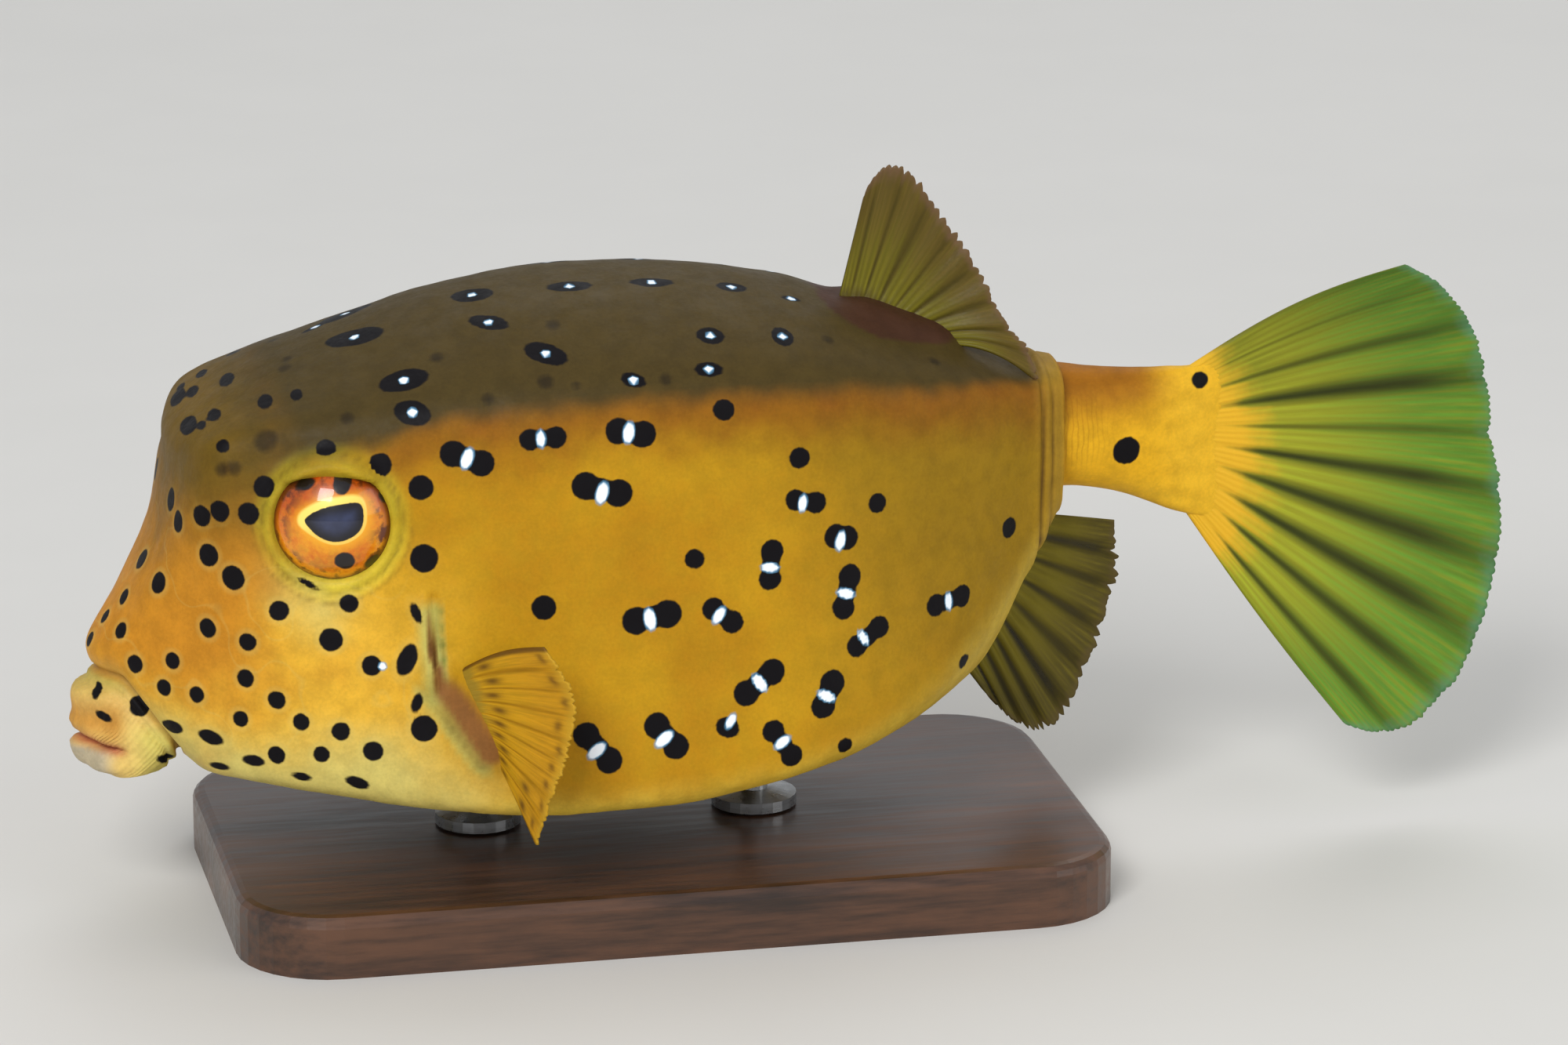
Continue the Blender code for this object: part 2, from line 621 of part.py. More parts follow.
def build_head(materials, collection, cutters):
    """Make the head with its lid rings, nostrils and eye sockets, and the two eyes."""
    head = loft("head", body_grid(0.0, HEAD_CUT - CUT_STEP))
    nostril_out = turn_out(NOSTRIL_OUT)
    nostril_place = left_side(NOSTRIL_PLACE)
    wart = ball("nostril_left", nostril_place, (NOSTRIL_RADIUS, NOSTRIL_RADIUS, NOSTRIL_HEIGHT + 0.4),
                nostril_out, segments=12, rings=8)
    pore_place = nostril_place + Vector(NOSTRIL_OUT) * NOSTRIL_HEIGHT
    pore = ball("pore_left", pore_place, (PORE_RADIUS, PORE_RADIUS, PORE_DEPTH), nostril_out,
                segments=8, rings=6)
    ring = lid_ring("ring_left")
    fuse(head, [wart, mirrored(wart, "nostril_right"), ring, mirrored(ring, "ring_right")])

    eye_turn = turn_out(eye_axis())
    eye_place = left_side(EYE_CENTRE)
    socket_radii = (EYE_RADIUS + GAP, EYE_RADIUS + GAP, EYE_DEPTH + GAP)
    socket = ball("socket_left", eye_place, socket_radii, eye_turn)
    hollows = [socket, mirrored(socket, "socket_right"), pore, mirrored(pore, "pore_right")]
    for hollow in hollows:
        hide_cutter(hollow, cutters)
    cut(head, hollows)
    finish_node(head, materials["skin_yellow"], collection)

    eye = ball("eye_left", eye_place, (EYE_RADIUS, EYE_RADIUS, EYE_DEPTH), eye_turn)
    finish_node(eye, materials["eye_gloss"], collection)
    finish_node(mirrored(eye, "eye_right"), materials["eye_gloss"], collection)


def build_carapace(materials, collection, cutters):
    """Make the trunk's bony case with the soft gill flap and slit on each side."""
    carapace = loft("carapace", body_grid(HEAD_CUT + CUT_STEP, LAST_STATION))
    flap = ball("flap_left", left_side(GILL_PLACE), GILL_RADII, segments=12, rings=12)
    fuse(carapace, [flap, mirrored(flap, "flap_right")])
    slit_place = left_side(GILL_PLACE) + Vector(GILL_SLIT_SHIFT)
    slit = ball("slit_left", slit_place, GILL_SLIT_RADII, segments=8, rings=12)
    slits = [slit, mirrored(slit, "slit_right")]
    for hollow in slits:
        hide_cutter(hollow, cutters)
    cut(carapace, slits)
    finish_node(carapace, materials["skin_yellow"], collection)


def build_lips(materials, collection, cutters):
    """Make the soft muzzle in two, parted along the line of the mouth."""
    half_gap = GAP / 2
    far, high = 40.0, 40.0
    below = block("below_mouth", (-120.0, -far, -high), (-60.0, far, MOUTH_LINE_Z + half_gap))
    above = block("above_mouth", (-120.0, -far, MOUTH_LINE_Z - half_gap), (-60.0, far, high))
    parting = ball("mouth_parting", MOUTH_PARTING_PLACE, MOUTH_PARTING_RADII, segments=24, rings=10)
    for cutter in (below, above, parting):
        hide_cutter(cutter, cutters)
    for name, other in (("lip_upper", below), ("lip_lower", above)):
        lip = loft(name, muzzle_grid())
        cut(lip, [other, parting])
        finish_node(lip, materials["lip_skin"], collection)


def build_fins(materials, collection, clearance):
    """Make the fins, each cut clear of the carapace that it grows from."""
    membrane = materials["fin_membrane"]
    finish_node(fin_node("tail_fin", TAIL, TAIL_COLUMNS_PER_RAY), membrane, collection)
    for name, fin in (("dorsal_fin", DORSAL), ("anal_fin", ANAL)):
        node = fin_node(name, fin)
        cut(node, [clearance])
        finish_node(node, membrane, collection)
    pectoral = fin_node("pectoral_fin_left", PECTORAL)
    cut(pectoral, [clearance])
    finish_node(pectoral, membrane, collection)
    finish_node(mirrored(pectoral, "pectoral_fin_right"), membrane, collection)


def surface_tree(obj):
    """Make a search tree of an object's surface."""
    mesh = bmesh.new()
    mesh.from_mesh(obj.data)
    tree = BVHTree.FromBMesh(mesh)
    mesh.free()
    return tree


def main():
    """Build every node of the model."""
    remove_scene_objects()
    parts = make_collection(COLLECTION_NAME)
    cutters = make_collection(CUTTER_COLLECTION_NAME)
    materials = {name: make_material(name, *look) for name, look in LOOKS.items()}

    clearance = loft("body_clearance", body_grid(0.0, LAST_STATION, GAP))
    hide_cutter(clearance, cutters)
    body = loft("body_guide", body_grid(0.0, LAST_STATION))
    belly = surface_tree(body)
    bpy.data.objects.remove(body, do_unlink=True)

    build_head(materials, parts, cutters)
    build_carapace(materials, parts, cutters)
    build_lips(materials, parts, cutters)
    finish_node(loft("tail_stalk", stalk_grid()), materials["tail_skin"], parts)
    build_fins(materials, parts, clearance)
    build_stand(materials, parts, belly, clearance)


main()
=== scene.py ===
"""Yellow boxfish on its stand: the dressed display model.

The fish lies along X with its snout towards -X and its left side towards -Y.
Shapes are worked out in the fish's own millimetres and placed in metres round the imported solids.
One skin runs from the lips to the tail, with the lids, the mouth, the nostrils and the gills in it.
"""

from __future__ import annotations

import logging
import math
from dataclasses import dataclass, field
from enum import Enum

import bpy
import numpy as np
from mathutils import Matrix, Vector, noise
from mathutils.bvhtree import BVHTree


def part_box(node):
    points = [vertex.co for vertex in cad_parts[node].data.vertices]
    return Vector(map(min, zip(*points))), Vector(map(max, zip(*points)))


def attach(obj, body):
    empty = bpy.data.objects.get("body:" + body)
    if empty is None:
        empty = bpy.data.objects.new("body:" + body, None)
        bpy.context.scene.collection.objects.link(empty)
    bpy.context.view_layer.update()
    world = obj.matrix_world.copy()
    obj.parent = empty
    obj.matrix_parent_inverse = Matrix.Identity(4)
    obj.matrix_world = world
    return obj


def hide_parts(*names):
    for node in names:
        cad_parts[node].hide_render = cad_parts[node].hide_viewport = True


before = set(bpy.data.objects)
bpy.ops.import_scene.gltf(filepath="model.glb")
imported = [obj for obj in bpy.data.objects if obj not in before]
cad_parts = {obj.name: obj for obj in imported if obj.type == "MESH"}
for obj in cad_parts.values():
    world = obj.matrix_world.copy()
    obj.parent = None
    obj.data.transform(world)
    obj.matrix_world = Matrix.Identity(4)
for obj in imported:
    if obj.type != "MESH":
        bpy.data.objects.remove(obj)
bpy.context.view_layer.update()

LOG = logging.getLogger("boxfish")
MM = 0.001
BODY = "root"

# Height of the fish's own zero line above the floor, and the x at which the tail stalk's solid starts.
FISH_LIFT = 42.0
STALK_START_X = 34.8
FISH_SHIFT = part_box("tail_stalk")[0][0] / MM - STALK_START_X

LEFT, RIGHT = -1.0, 1.0

# The run behind the mouth rim that each station adds, and the one that marks the rings of the tail.
STATION_RUN = 3.6
TAIL_RUN = 200.0

# Where something starts and where it is whole, a place or a set of three values, and a node's socket.
Span = tuple[float, float]
Triple = tuple[float, float, float]
Socket = bpy.types.NodeSocket


def srgb(red: float, green: float, blue: float) -> tuple[float, float, float, float]:
    """Turn a colour from 0 to 255 on a screen into Blender's linear RGBA.

    Args:
        red: The red part.
        green: The green part.
        blue: The blue part.

    Returns:
        The linear colour with full alpha.
    """
    parts = []
    for part in (red, green, blue):
        share = part / 255.0
        parts.append(share / 12.92 if share <= 0.04045 else ((share + 0.055) / 1.055) ** 2.4)
    return (parts[0], parts[1], parts[2], 1.0)


def smoothstep(start: float, end: float, value: np.ndarray) -> np.ndarray:
    """Ease from 0 at start to 1 at end; start may be the larger of the two.

    Args:
        start: Where the mask is 0.
        end: Where the mask is 1.
        value: The values to read it at.

    Returns:
        The mask, from 0 to 1.
    """
    share = np.clip((value - start) / (end - start), 0.0, 1.0)
    return share * share * (3.0 - 2.0 * share)


def bump(value: np.ndarray, centre: float, width: float) -> np.ndarray:
    """Give a soft hump of height 1 at centre, as wide as width."""
    return np.exp(-(((value - centre) / width) ** 2))


def spline(keys: tuple | list | np.ndarray, places: np.ndarray) -> np.ndarray:
    """Read a Catmull-Rom curve through evenly spaced keys.

    Args:
        keys: The keys, one row each.
        places: Where to read it, from 0 to the last key's number.

    Returns:
        One row for each place.
    """
    table = np.asarray(keys, dtype=float)
    padded = np.vstack((2 * table[0] - table[1], table, 2 * table[-1] - table[-2]))
    places = np.asarray(places, dtype=float)
    start = np.clip(np.floor(places).astype(int), 0, len(table) - 2)
    share = (places - start)[..., None]
    before, here, there, after = (padded[start + step] for step in range(4))
    return 0.5 * (2 * here + (there - before) * share
                  + (2 * before - 5 * here + 4 * there - after) * share ** 2
                  + (3 * here - before - 3 * there + after) * share ** 3)


def to_segment(points: np.ndarray, start: np.ndarray, end: np.ndarray) -> np.ndarray:
    """Measure how far points are from a straight segment.

    Args:
        points: The points, in the last axis.
        start: One end of the segment.
        end: Its other end.

    Returns:
        The distance of each point.
    """
    way = np.asarray(end, dtype=float) - np.asarray(start, dtype=float)
    offset = points - np.asarray(start, dtype=float)
    length = float(way @ way)
    share = np.clip(offset @ way / length, 0.0, 1.0) if length > 1e-9 else np.zeros(points.shape[:-1])
    return np.linalg.norm(offset - share[..., None] * way, axis=-1)


def rough(points: np.ndarray, size: float, seed: float) -> np.ndarray:
    """Read smooth noise at points, with lumps about as large as size.

    Args:
        points: Points in millimetres, in the last axis.
        size: The size of a lump, in millimetres.
        seed: Moves the noise, so that each use differs.

    Returns:
        The noise at each point, about -1 to 1.
    """
    flat = points.reshape(-1, 3) / size + seed
    values = np.fromiter((noise.noise(Vector(point)) for point in flat), float, len(flat))
    return values.reshape(points.shape[:-1])


@dataclass
class Mesh:
    """A mesh under construction in the fish's millimetres, with a value at each point for each mask."""

    name: str
    points: list[np.ndarray] = field(default_factory=list)
    faces: list[tuple[int, ...]] = field(default_factory=list)
    masks: dict[str, np.ndarray] = field(default_factory=dict)

    def build(self, material: bpy.types.Material) -> bpy.types.Object:
        """Make the object, place it in metres, shade it smooth and keep its masks as attributes.

        Args:
            material: What the piece is dressed in.

        Returns:
            The new object, linked to the scene.
        """
        places = (np.asarray(self.points) + (FISH_SHIFT, 0.0, FISH_LIFT)) * MM
        data = bpy.data.meshes.new(self.name)
        data.from_pydata(places.tolist(), [], self.faces)
        for name, values in self.masks.items():
            data.attributes.new(name, "FLOAT", "POINT").data.foreach_set(
                "value", np.asarray(values, dtype=np.float32).ravel())
        data.materials.append(material)
        data.shade_smooth()
        data.update()
        obj = bpy.data.objects.new(self.name, data)
        bpy.context.scene.collection.objects.link(obj)
        return obj


@dataclass(frozen=True)
class PhotoView:
    """The photograph's camera: its turn to the head side, its rise, and its scale at the zero point."""

    turn: float = math.radians(12.0)
    rise: float = math.radians(17.0)
    distance: float = 900.0
    pixels_per_mm: float = 10.0
    zero_at: tuple[float, float] = (1000.0, 700.0)
    image: tuple[int, int] = (2000, 1333)
    sensor: float = 36.0

    @property
    def rightwards(self) -> Vector:
        """Give the direction that runs to the right in the picture."""
        return Vector((math.cos(self.turn), -math.sin(self.turn), 0.0))

    @property
    def upwards(self) -> Vector:
        """Give the direction that runs up in the picture."""
        return Vector((math.sin(self.turn) * math.sin(self.rise), math.cos(self.turn) * math.sin(self.rise),
                       math.cos(self.rise)))

    @property
    def backwards(self) -> Vector:
        """Give the direction from the fish to the camera."""
        return self.rightwards.cross(self.upwards)

    def cast(self, tree: BVHTree, across: float, down: float) -> Vector:
        """Find the place on a surface that a pixel of the photograph shows.

        Args:
            tree: The surface, in the fish's millimetres.
            across: The pixel's place from the left.
            down: The pixel's place from the top.

        Returns:
            The nearest place that the pixel's line meets, or else passes.
        """
        start = self.backwards * self.distance
        aim = (self.rightwards * ((across - self.zero_at[0]) / self.pixels_per_mm)
               - self.upwards * ((down - self.zero_at[1]) / self.pixels_per_mm))
        way = (aim - start).normalized()
        hit = tree.ray_cast(start, way)[0]
        if hit is None:
            beside = start + way * (start - aim).length * 0.975
            hit = tree.find_nearest(beside)[0]
        return hit

    def build(self) -> bpy.types.Object:
        """Make the camera and give it to the scene.

        Returns:
            The camera.
        """
        width = self.image[0] / self.pixels_per_mm
        data = bpy.data.cameras.new("photo_view")
        data.sensor_width = self.sensor
        data.lens = self.sensor * self.distance / width
        data.shift_y = (self.zero_at[1] - self.image[1] / 2) / self.image[0]
        data.clip_start = 0.01
        camera = bpy.data.objects.new("photo_view", data)
        axes = Matrix((self.rightwards, self.upwards, self.backwards)).transposed()
        place = (self.backwards * self.distance + Vector((FISH_SHIFT, 0.0, FISH_LIFT))) * MM
        camera.matrix_world = Matrix.Translation(place) @ axes.to_4x4()
        bpy.context.scene.collection.objects.link(camera)
        bpy.context.scene.camera = camera
        return camera


class Graph:
    """Adds nodes to a material or group and joins them."""

    def __init__(self, tree: bpy.types.NodeTree) -> None:
        """Start on a node tree."""
        self.tree = tree

    def add(self, kind: str, **settings: object) -> bpy.types.Node:
        """Add a node.

        Args:
            kind: Blender's name of the node.
            **settings: Its properties.

        Returns:
            The node.
        """
        node = self.tree.nodes.new(kind)
        for name, value in settings.items():
            setattr(node, name, value)
        return node

    def feed(self, socket: Socket, value: object) -> None:
        """Join a socket to another, or set it to a plain value.

        Args:
            socket: The input to feed.
            value: A socket or a plain value.
        """
        if isinstance(value, Socket):
            self.tree.links.new(value, socket)
        else:
            socket.default_value = value

    def attribute(self, name: str) -> Socket:
        """Read one of the mesh's masks."""
        return self.add("ShaderNodeAttribute", attribute_name=name).outputs["Fac"]

    def math(self, operation: str, first: object, second: object = 0.0,
             clamp: bool = False) -> Socket:
        """Join two values with a sum.

        Args:
            operation: Blender's name of the sum.
            first: Its first value or socket.
            second: Its second value or socket.
            clamp: Whether the result stays between 0 and 1.

        Returns:
            The result's socket.
        """
        node = self.add("ShaderNodeMath", operation=operation, use_clamp=clamp)
        self.feed(node.inputs[0], first)
        self.feed(node.inputs[1], second)
        return node.outputs[0]

    def ranged(self, value: object, low: object, high: object, start: float = 0.0,
               end: float = 1.0) -> Socket:
        """Map a value smoothly from low and high to start and end.

        Args:
            value: The value or socket to map.
            low: What becomes start.
            high: What becomes end.
            start: The result at low.
            end: The result at high.

        Returns:
            The result's socket.
        """
        node = self.add("ShaderNodeMapRange", interpolation_type="SMOOTHSTEP")
        for place, item in enumerate((value, low, high, start, end)):
            self.feed(node.inputs[place], item)
        return node.outputs[0]

    def mix(self, share: object, first: object, second: object, blend: str = "MIX") -> Socket:
        """Mix two colours.

        Args:
            share: How much of the second shows.
            first: The first colour or socket.
            second: The second colour or socket.
            blend: Blender's name of the way of mixing.

        Returns:
            The mixed colour's socket.
        """
        node = self.add("ShaderNodeMix", data_type="RGBA", blend_type=blend)
        self.feed(node.inputs["Factor"], share)
        self.feed(node.inputs[6], first)
        self.feed(node.inputs[7], second)
        return node.outputs[2]

    def place(self) -> Socket:
        """Read the place on the object, in metres."""
        return self.add("ShaderNodeTexCoord").outputs["Object"]

    def noise(self, scale: object, detail: float = 3.0, vector: object = None,
              roughness: float = 0.55) -> Socket:
        """Read noise with scale lumps to the metre.

        Args:
            scale: Lumps to the metre.
            detail: How many finer layers it has.
            vector: Where it is read, or the place on the object.
            roughness: How strong the finer layers are.

        Returns:
            The noise's value, from 0 to 1.
        """
        node = self.add("ShaderNodeTexNoise")
        self.feed(node.inputs["Vector"], vector or self.place())
        self.feed(node.inputs["Scale"], scale)
        self.feed(node.inputs["Detail"], detail)
        self.feed(node.inputs["Roughness"], roughness)
        return node.outputs["Fac"]

    def group(self, effect: Effect, **values: object) -> Socket:
        """Place a shared effect with its own values.

        Args:
            effect: Which effect.
            **values: Its inputs by name.

        Returns:
            The effect's output socket.
        """
        node = self.add("ShaderNodeGroup", node_tree=effects()[effect])
        for name, value in values.items():
            self.feed(node.inputs[name.capitalize()], value)
        return node.outputs[0]


class Effect(Enum):
    """The effects that several finishes share."""

    EDGE = "soft_uneven_edge"
    MOTTLE = "mottling"
    GRAIN = "fine_grain"


def new_effect(effect: Effect, inputs: dict[str, float],
               output: str) -> tuple[Graph, bpy.types.Node, bpy.types.Node]:
    """Start a shared effect as a node group.

    Args:
        effect: Which effect.
        inputs: The inputs' names and first values.
        output: The output's name.

    Returns:
        The graph inside, and its input and output nodes.
    """
    tree = bpy.data.node_groups.new(effect.value, "ShaderNodeTree")
    for name, value in inputs.items():
        tree.interface.new_socket(name, in_out="INPUT", socket_type="NodeSocketFloat").default_value = value
    tree.interface.new_socket(output, in_out="OUTPUT", socket_type="NodeSocketFloat")
    graph = Graph(tree)
    return graph, graph.add("NodeGroupInput"), graph.add("NodeGroupOutput")


def build_edge() -> bpy.types.NodeTree:
    """Make a mask from a distance in millimetres, with an edge that wavers a little.

    Returns:
        The group.
    """
    inputs = {"Distance": 0.0, "Softness": 0.2, "Waver": 0.4, "Scale": 700.0}
    graph, given, result = new_effect(Effect.EDGE, inputs, "Mask")
    lumps = graph.math("SUBTRACT", graph.noise(given.outputs["Scale"], 2.0), 0.5)
    moved = graph.math("MULTIPLY_ADD", lumps, given.outputs["Waver"])
    graph.feed(moved.node.inputs[2], given.outputs["Distance"])
    inner = graph.math("MULTIPLY", given.outputs["Softness"], -1.0)
    mask = graph.ranged(moved, inner, given.outputs["Softness"], 1.0, 0.0)
    graph.feed(result.inputs[0], mask)
    return graph.tree


def build_mottle() -> bpy.types.NodeTree:
    """Make blotches in two sizes, from Low to High.

    Returns:
        The group.
    """
    graph, given, result = new_effect(Effect.MOTTLE, {"Scale": 120.0, "Low": 0.8, "High": 1.1}, "Value")
    broad = graph.noise(given.outputs["Scale"], 4.0)
    fine_scale = graph.math("MULTIPLY", given.outputs["Scale"], 6.0)
    fine = graph.noise(fine_scale, 3.0)
    both = graph.math("ADD", graph.math("MULTIPLY", broad, 0.65), graph.math("MULTIPLY", fine, 0.35))
    value = graph.ranged(both, 0.3, 0.7)
    span = graph.math("SUBTRACT", given.outputs["High"], given.outputs["Low"])
    scaled = graph.math("MULTIPLY_ADD", value, span)
    graph.feed(scaled.node.inputs[2], given.outputs["Low"])
    graph.feed(result.inputs[0], scaled)
    return graph.tree


def build_grain() -> bpy.types.NodeTree:
    """Make the height of fine pebbled grain, Scale pebbles to the metre.

    Returns:
        The group.
    """
    graph, given, result = new_effect(Effect.GRAIN, {"Scale": 1600.0, "Height": 1.0}, "Height")
    cells = graph.add("ShaderNodeTexVoronoi", feature="SMOOTH_F1")
    graph.feed(cells.inputs["Vector"], graph.place())
    graph.feed(cells.inputs["Scale"], given.outputs["Scale"])
    pebble = graph.ranged(cells.outputs["Distance"], 0.0, 0.8, 1.0, 0.0)
    fine = graph.noise(given.outputs["Scale"], 3.0)
    both = graph.math("ADD", graph.math("MULTIPLY", pebble, 0.6), graph.math("MULTIPLY", fine, 0.4))
    graph.feed(result.inputs[0], graph.math("MULTIPLY", both, given.outputs["Height"]))
    return graph.tree


_EFFECTS: dict[Effect, bpy.types.NodeTree] = {}


def effects() -> dict[Effect, bpy.types.NodeTree]:
    """Give the shared effects, built once.

    Returns:
        The node group of each effect.
    """
    if not _EFFECTS:
        for effect, builder in ((Effect.EDGE, build_edge), (Effect.MOTTLE, build_mottle),
                                (Effect.GRAIN, build_grain)):
            _EFFECTS[effect] = builder()
    return _EFFECTS


def new_material(name: str) -> tuple[bpy.types.Material, Graph, bpy.types.Node]:
    """Start a material with its Principled shader.

    Args:
        name: The material's name.

    Returns:
        The material, the graph inside it and its shader.
    """
    material = bpy.data.materials.new(name)
    material.use_nodes = True
    return material, Graph(material.node_tree), material.node_tree.nodes["Principled BSDF"]


def add_bump(graph: Graph, shader: bpy.types.Node, height: Socket, strength: float,
             distance: float) -> None:
    """Raise a surface by a height.

    Args:
        graph: The material's graph.
        shader: Its shader.
        height: The height, from 0 to 1.
        strength: How strongly it shows.
        distance: How high 1 is, in metres.
    """
    node = graph.add("ShaderNodeBump")
    node.inputs["Strength"].default_value = strength
    node.inputs["Distance"].default_value = distance
    graph.feed(node.inputs["Height"], height)
    graph.feed(shader.inputs["Normal"], node.outputs["Normal"])


@dataclass(frozen=True)
class SkinFinish:
    """Moist skin over bony plates: a colour for each region, and black and white marks over them."""

    flank: tuple = srgb(192, 146, 20)
    flank_deep: tuple = srgb(170, 120, 12)
    # Partly painted shade: darker olive towards the rear and the top, where the light falls off, and partly
    # the skin's own darker tone.
    rear: tuple = srgb(140, 108, 14)
    cheek: tuple = srgb(220, 170, 50)
    jaw: tuple = srgb(200, 184, 102)
    snout: tuple = srgb(192, 128, 30)
    forehead: tuple = srgb(94, 74, 18)
    back: tuple = srgb(70, 56, 22)
    # Partly painted shade: the upper flank darkens below the ridge where it turns away from the light, and
    # partly the skin's own orange-brown there.
    back_edge: tuple = srgb(128, 76, 12)
    belly: tuple = srgb(212, 180, 66)
    stalk: tuple = srgb(220, 166, 28)
    stalk_top: tuple = srgb(150, 94, 14)
    stalk_root: tuple = srgb(226, 176, 40)
    lip: tuple = srgb(226, 190, 108)
    lip_top: tuple = srgb(160, 146, 62)
    lip_front: tuple = srgb(190, 128, 44)
    lip_rear: tuple = srgb(208, 196, 100)
    chin: tuple = srgb(178, 168, 146)
    mouth: tuple = srgb(176, 92, 66)
    lid: tuple = srgb(184, 168, 42)
    lid_low: tuple = srgb(226, 204, 62)
    gill: tuple = srgb(178, 174, 92)
    gill_edge: tuple = srgb(112, 118, 46)
    flesh: tuple = srgb(136, 90, 44)
    fin_foot: tuple = srgb(68, 42, 28)
    rim: tuple = srgb(158, 122, 34)
    # Painted shade: the dark of the creases round the lids, the lips' rim and the shell's rear rim, of the
    # nostril pits and the gill slit, and the shadow under the pectoral pad.
    crease: tuple = srgb(84, 54, 20)
    black: tuple = srgb(7, 4, 8)
    white: tuple = srgb(240, 248, 255)
    blue: tuple = srgb(96, 150, 186)
    regions: tuple[str, ...] = (
        "rear", "belly", "cheek", "jaw", "snout", "forehead", "back_edge", "back", "stalk", "stalk_top",
        "stalk_root", "rim", "lip", "lip_rear", "lip_top", "lip_front", "chin", "mouth", "lid", "lid_low",
        "gill", "gill_edge", "flesh", "fin_foot", "crease")
    wander: float = 2.4
    specular: float = 0.14
    subsurface: float = 0.06
    subsurface_reach: Triple = (1.0, 0.5, 0.2)
    subsurface_depth: float = 0.0008
    plates_per_metre: float = 150.0
    relief: float = 0.00014

    def build(self) -> bpy.types.Material:
        """Make the skin's material from the mesh's masks.

        Returns:
            The material.
        """
        material, graph, shader = new_material("boxfish_skin")
        blotch = graph.group(Effect.MOTTLE, scale=70.0, low=0.0, high=1.0)
        colour = graph.mix(blotch, self.flank, self.flank_deep)
        wander = graph.math("SUBTRACT", graph.noise(260.0, 4.0), 0.5)
        for name in self.regions:
            mask = graph.attribute(name)
            between = graph.math("MULTIPLY", mask, graph.math("SUBTRACT", 1.0, mask))
            edge = graph.math("MULTIPLY", between, self.wander)
            uneven = graph.math("MULTIPLY_ADD", wander, edge, clamp=True)
            graph.feed(uneven.node.inputs[2], mask)
            colour = graph.mix(uneven, colour, getattr(self, name))
        cheek = graph.attribute("cheek")
        tan = graph.math("MULTIPLY", graph.ranged(graph.noise(60.0, 3.0), 0.46, 0.66, 0.0, 0.45), cheek)
        colour = graph.mix(tan, colour, self.snout)
        gap = graph.math("ABSOLUTE", graph.math("SUBTRACT", graph.noise(85.0, 1.5), 0.5))
        threads = graph.math("MULTIPLY", graph.ranged(gap, 0.0, 0.011, 0.14, 0.0), cheek)
        colour = graph.mix(threads, colour, self.jaw)
        lines = self.fine_lines(graph)
        colour = graph.mix(lines, colour, self.stalk_top)
        shade = graph.group(Effect.MOTTLE, scale=420.0, low=0.86, high=1.12)
        colour = graph.mix(1.0, colour, shade, blend="MULTIPLY")
        faint = graph.group(Effect.EDGE, distance=graph.attribute("faint"), softness=0.5, waver=0.5)
        colour = graph.mix(graph.math("MULTIPLY", faint, 0.6), colour, self.black)
        spot = graph.attribute("spot")
        halo = graph.math("MULTIPLY", graph.ranged(spot, 0.1, 1.2, 0.2, 0.0), graph.attribute("cheek"))
        colour = graph.mix(halo, colour, self.jaw)
        black = graph.group(Effect.EDGE, distance=spot, softness=0.13, waver=0.3)
        colour = graph.mix(black, colour, self.black)
        fleck = graph.attribute("fleck")
        colour = graph.mix(graph.ranged(fleck, 0.0, 0.3, 0.75, 0.0), colour, self.blue)
        white = graph.group(Effect.EDGE, distance=fleck, softness=0.1, waver=0.16)
        colour = graph.mix(white, colour, self.white)
        graph.feed(shader.inputs["Base Color"], colour)
        graph.feed(shader.inputs["Roughness"], graph.group(Effect.MOTTLE, scale=300.0, low=0.46, high=0.64))
        shader.inputs["Specular IOR Level"].default_value = self.specular
        shader.inputs["Subsurface Weight"].default_value = self.subsurface
        shader.inputs["Subsurface Radius"].default_value = self.subsurface_reach
        shader.inputs["Subsurface Scale"].default_value = self.subsurface_depth
        plates = graph.add("ShaderNodeTexVoronoi", feature="DISTANCE_TO_EDGE")
        graph.feed(plates.inputs["Vector"], graph.place())
        plates.inputs["Scale"].default_value = self.plates_per_metre
        seams = graph.ranged(plates.outputs["Distance"], 0.0, 0.12, 0.3, 0.5)
        grain = graph.group(Effect.GRAIN, scale=1500.0, height=0.5)
        add_bump(graph, shader, graph.math("ADD", seams, grain), 0.3, self.relief)
        return material

    def fine_lines(self, graph: Graph) -> Socket:
        """Give the fine upright lines at the front of the tail stalk.

        Args:
            graph: The material's graph.

        Returns:
            How strongly the lines show.
        """
        parts = graph.add("ShaderNodeSeparateXYZ")
        graph.feed(parts.inputs[0], graph.place())
        bent = graph.math("MULTIPLY_ADD", graph.noise(180.0, 2.0), 0.0022)
        graph.feed(bent.node.inputs[2], parts.outputs["X"])
        wave = graph.math("SINE", graph.math("MULTIPLY", bent, 9000.0))
        return graph.math("MULTIPLY", graph.ranged(wave, 0.1, 1.0), graph.attribute("lined"))


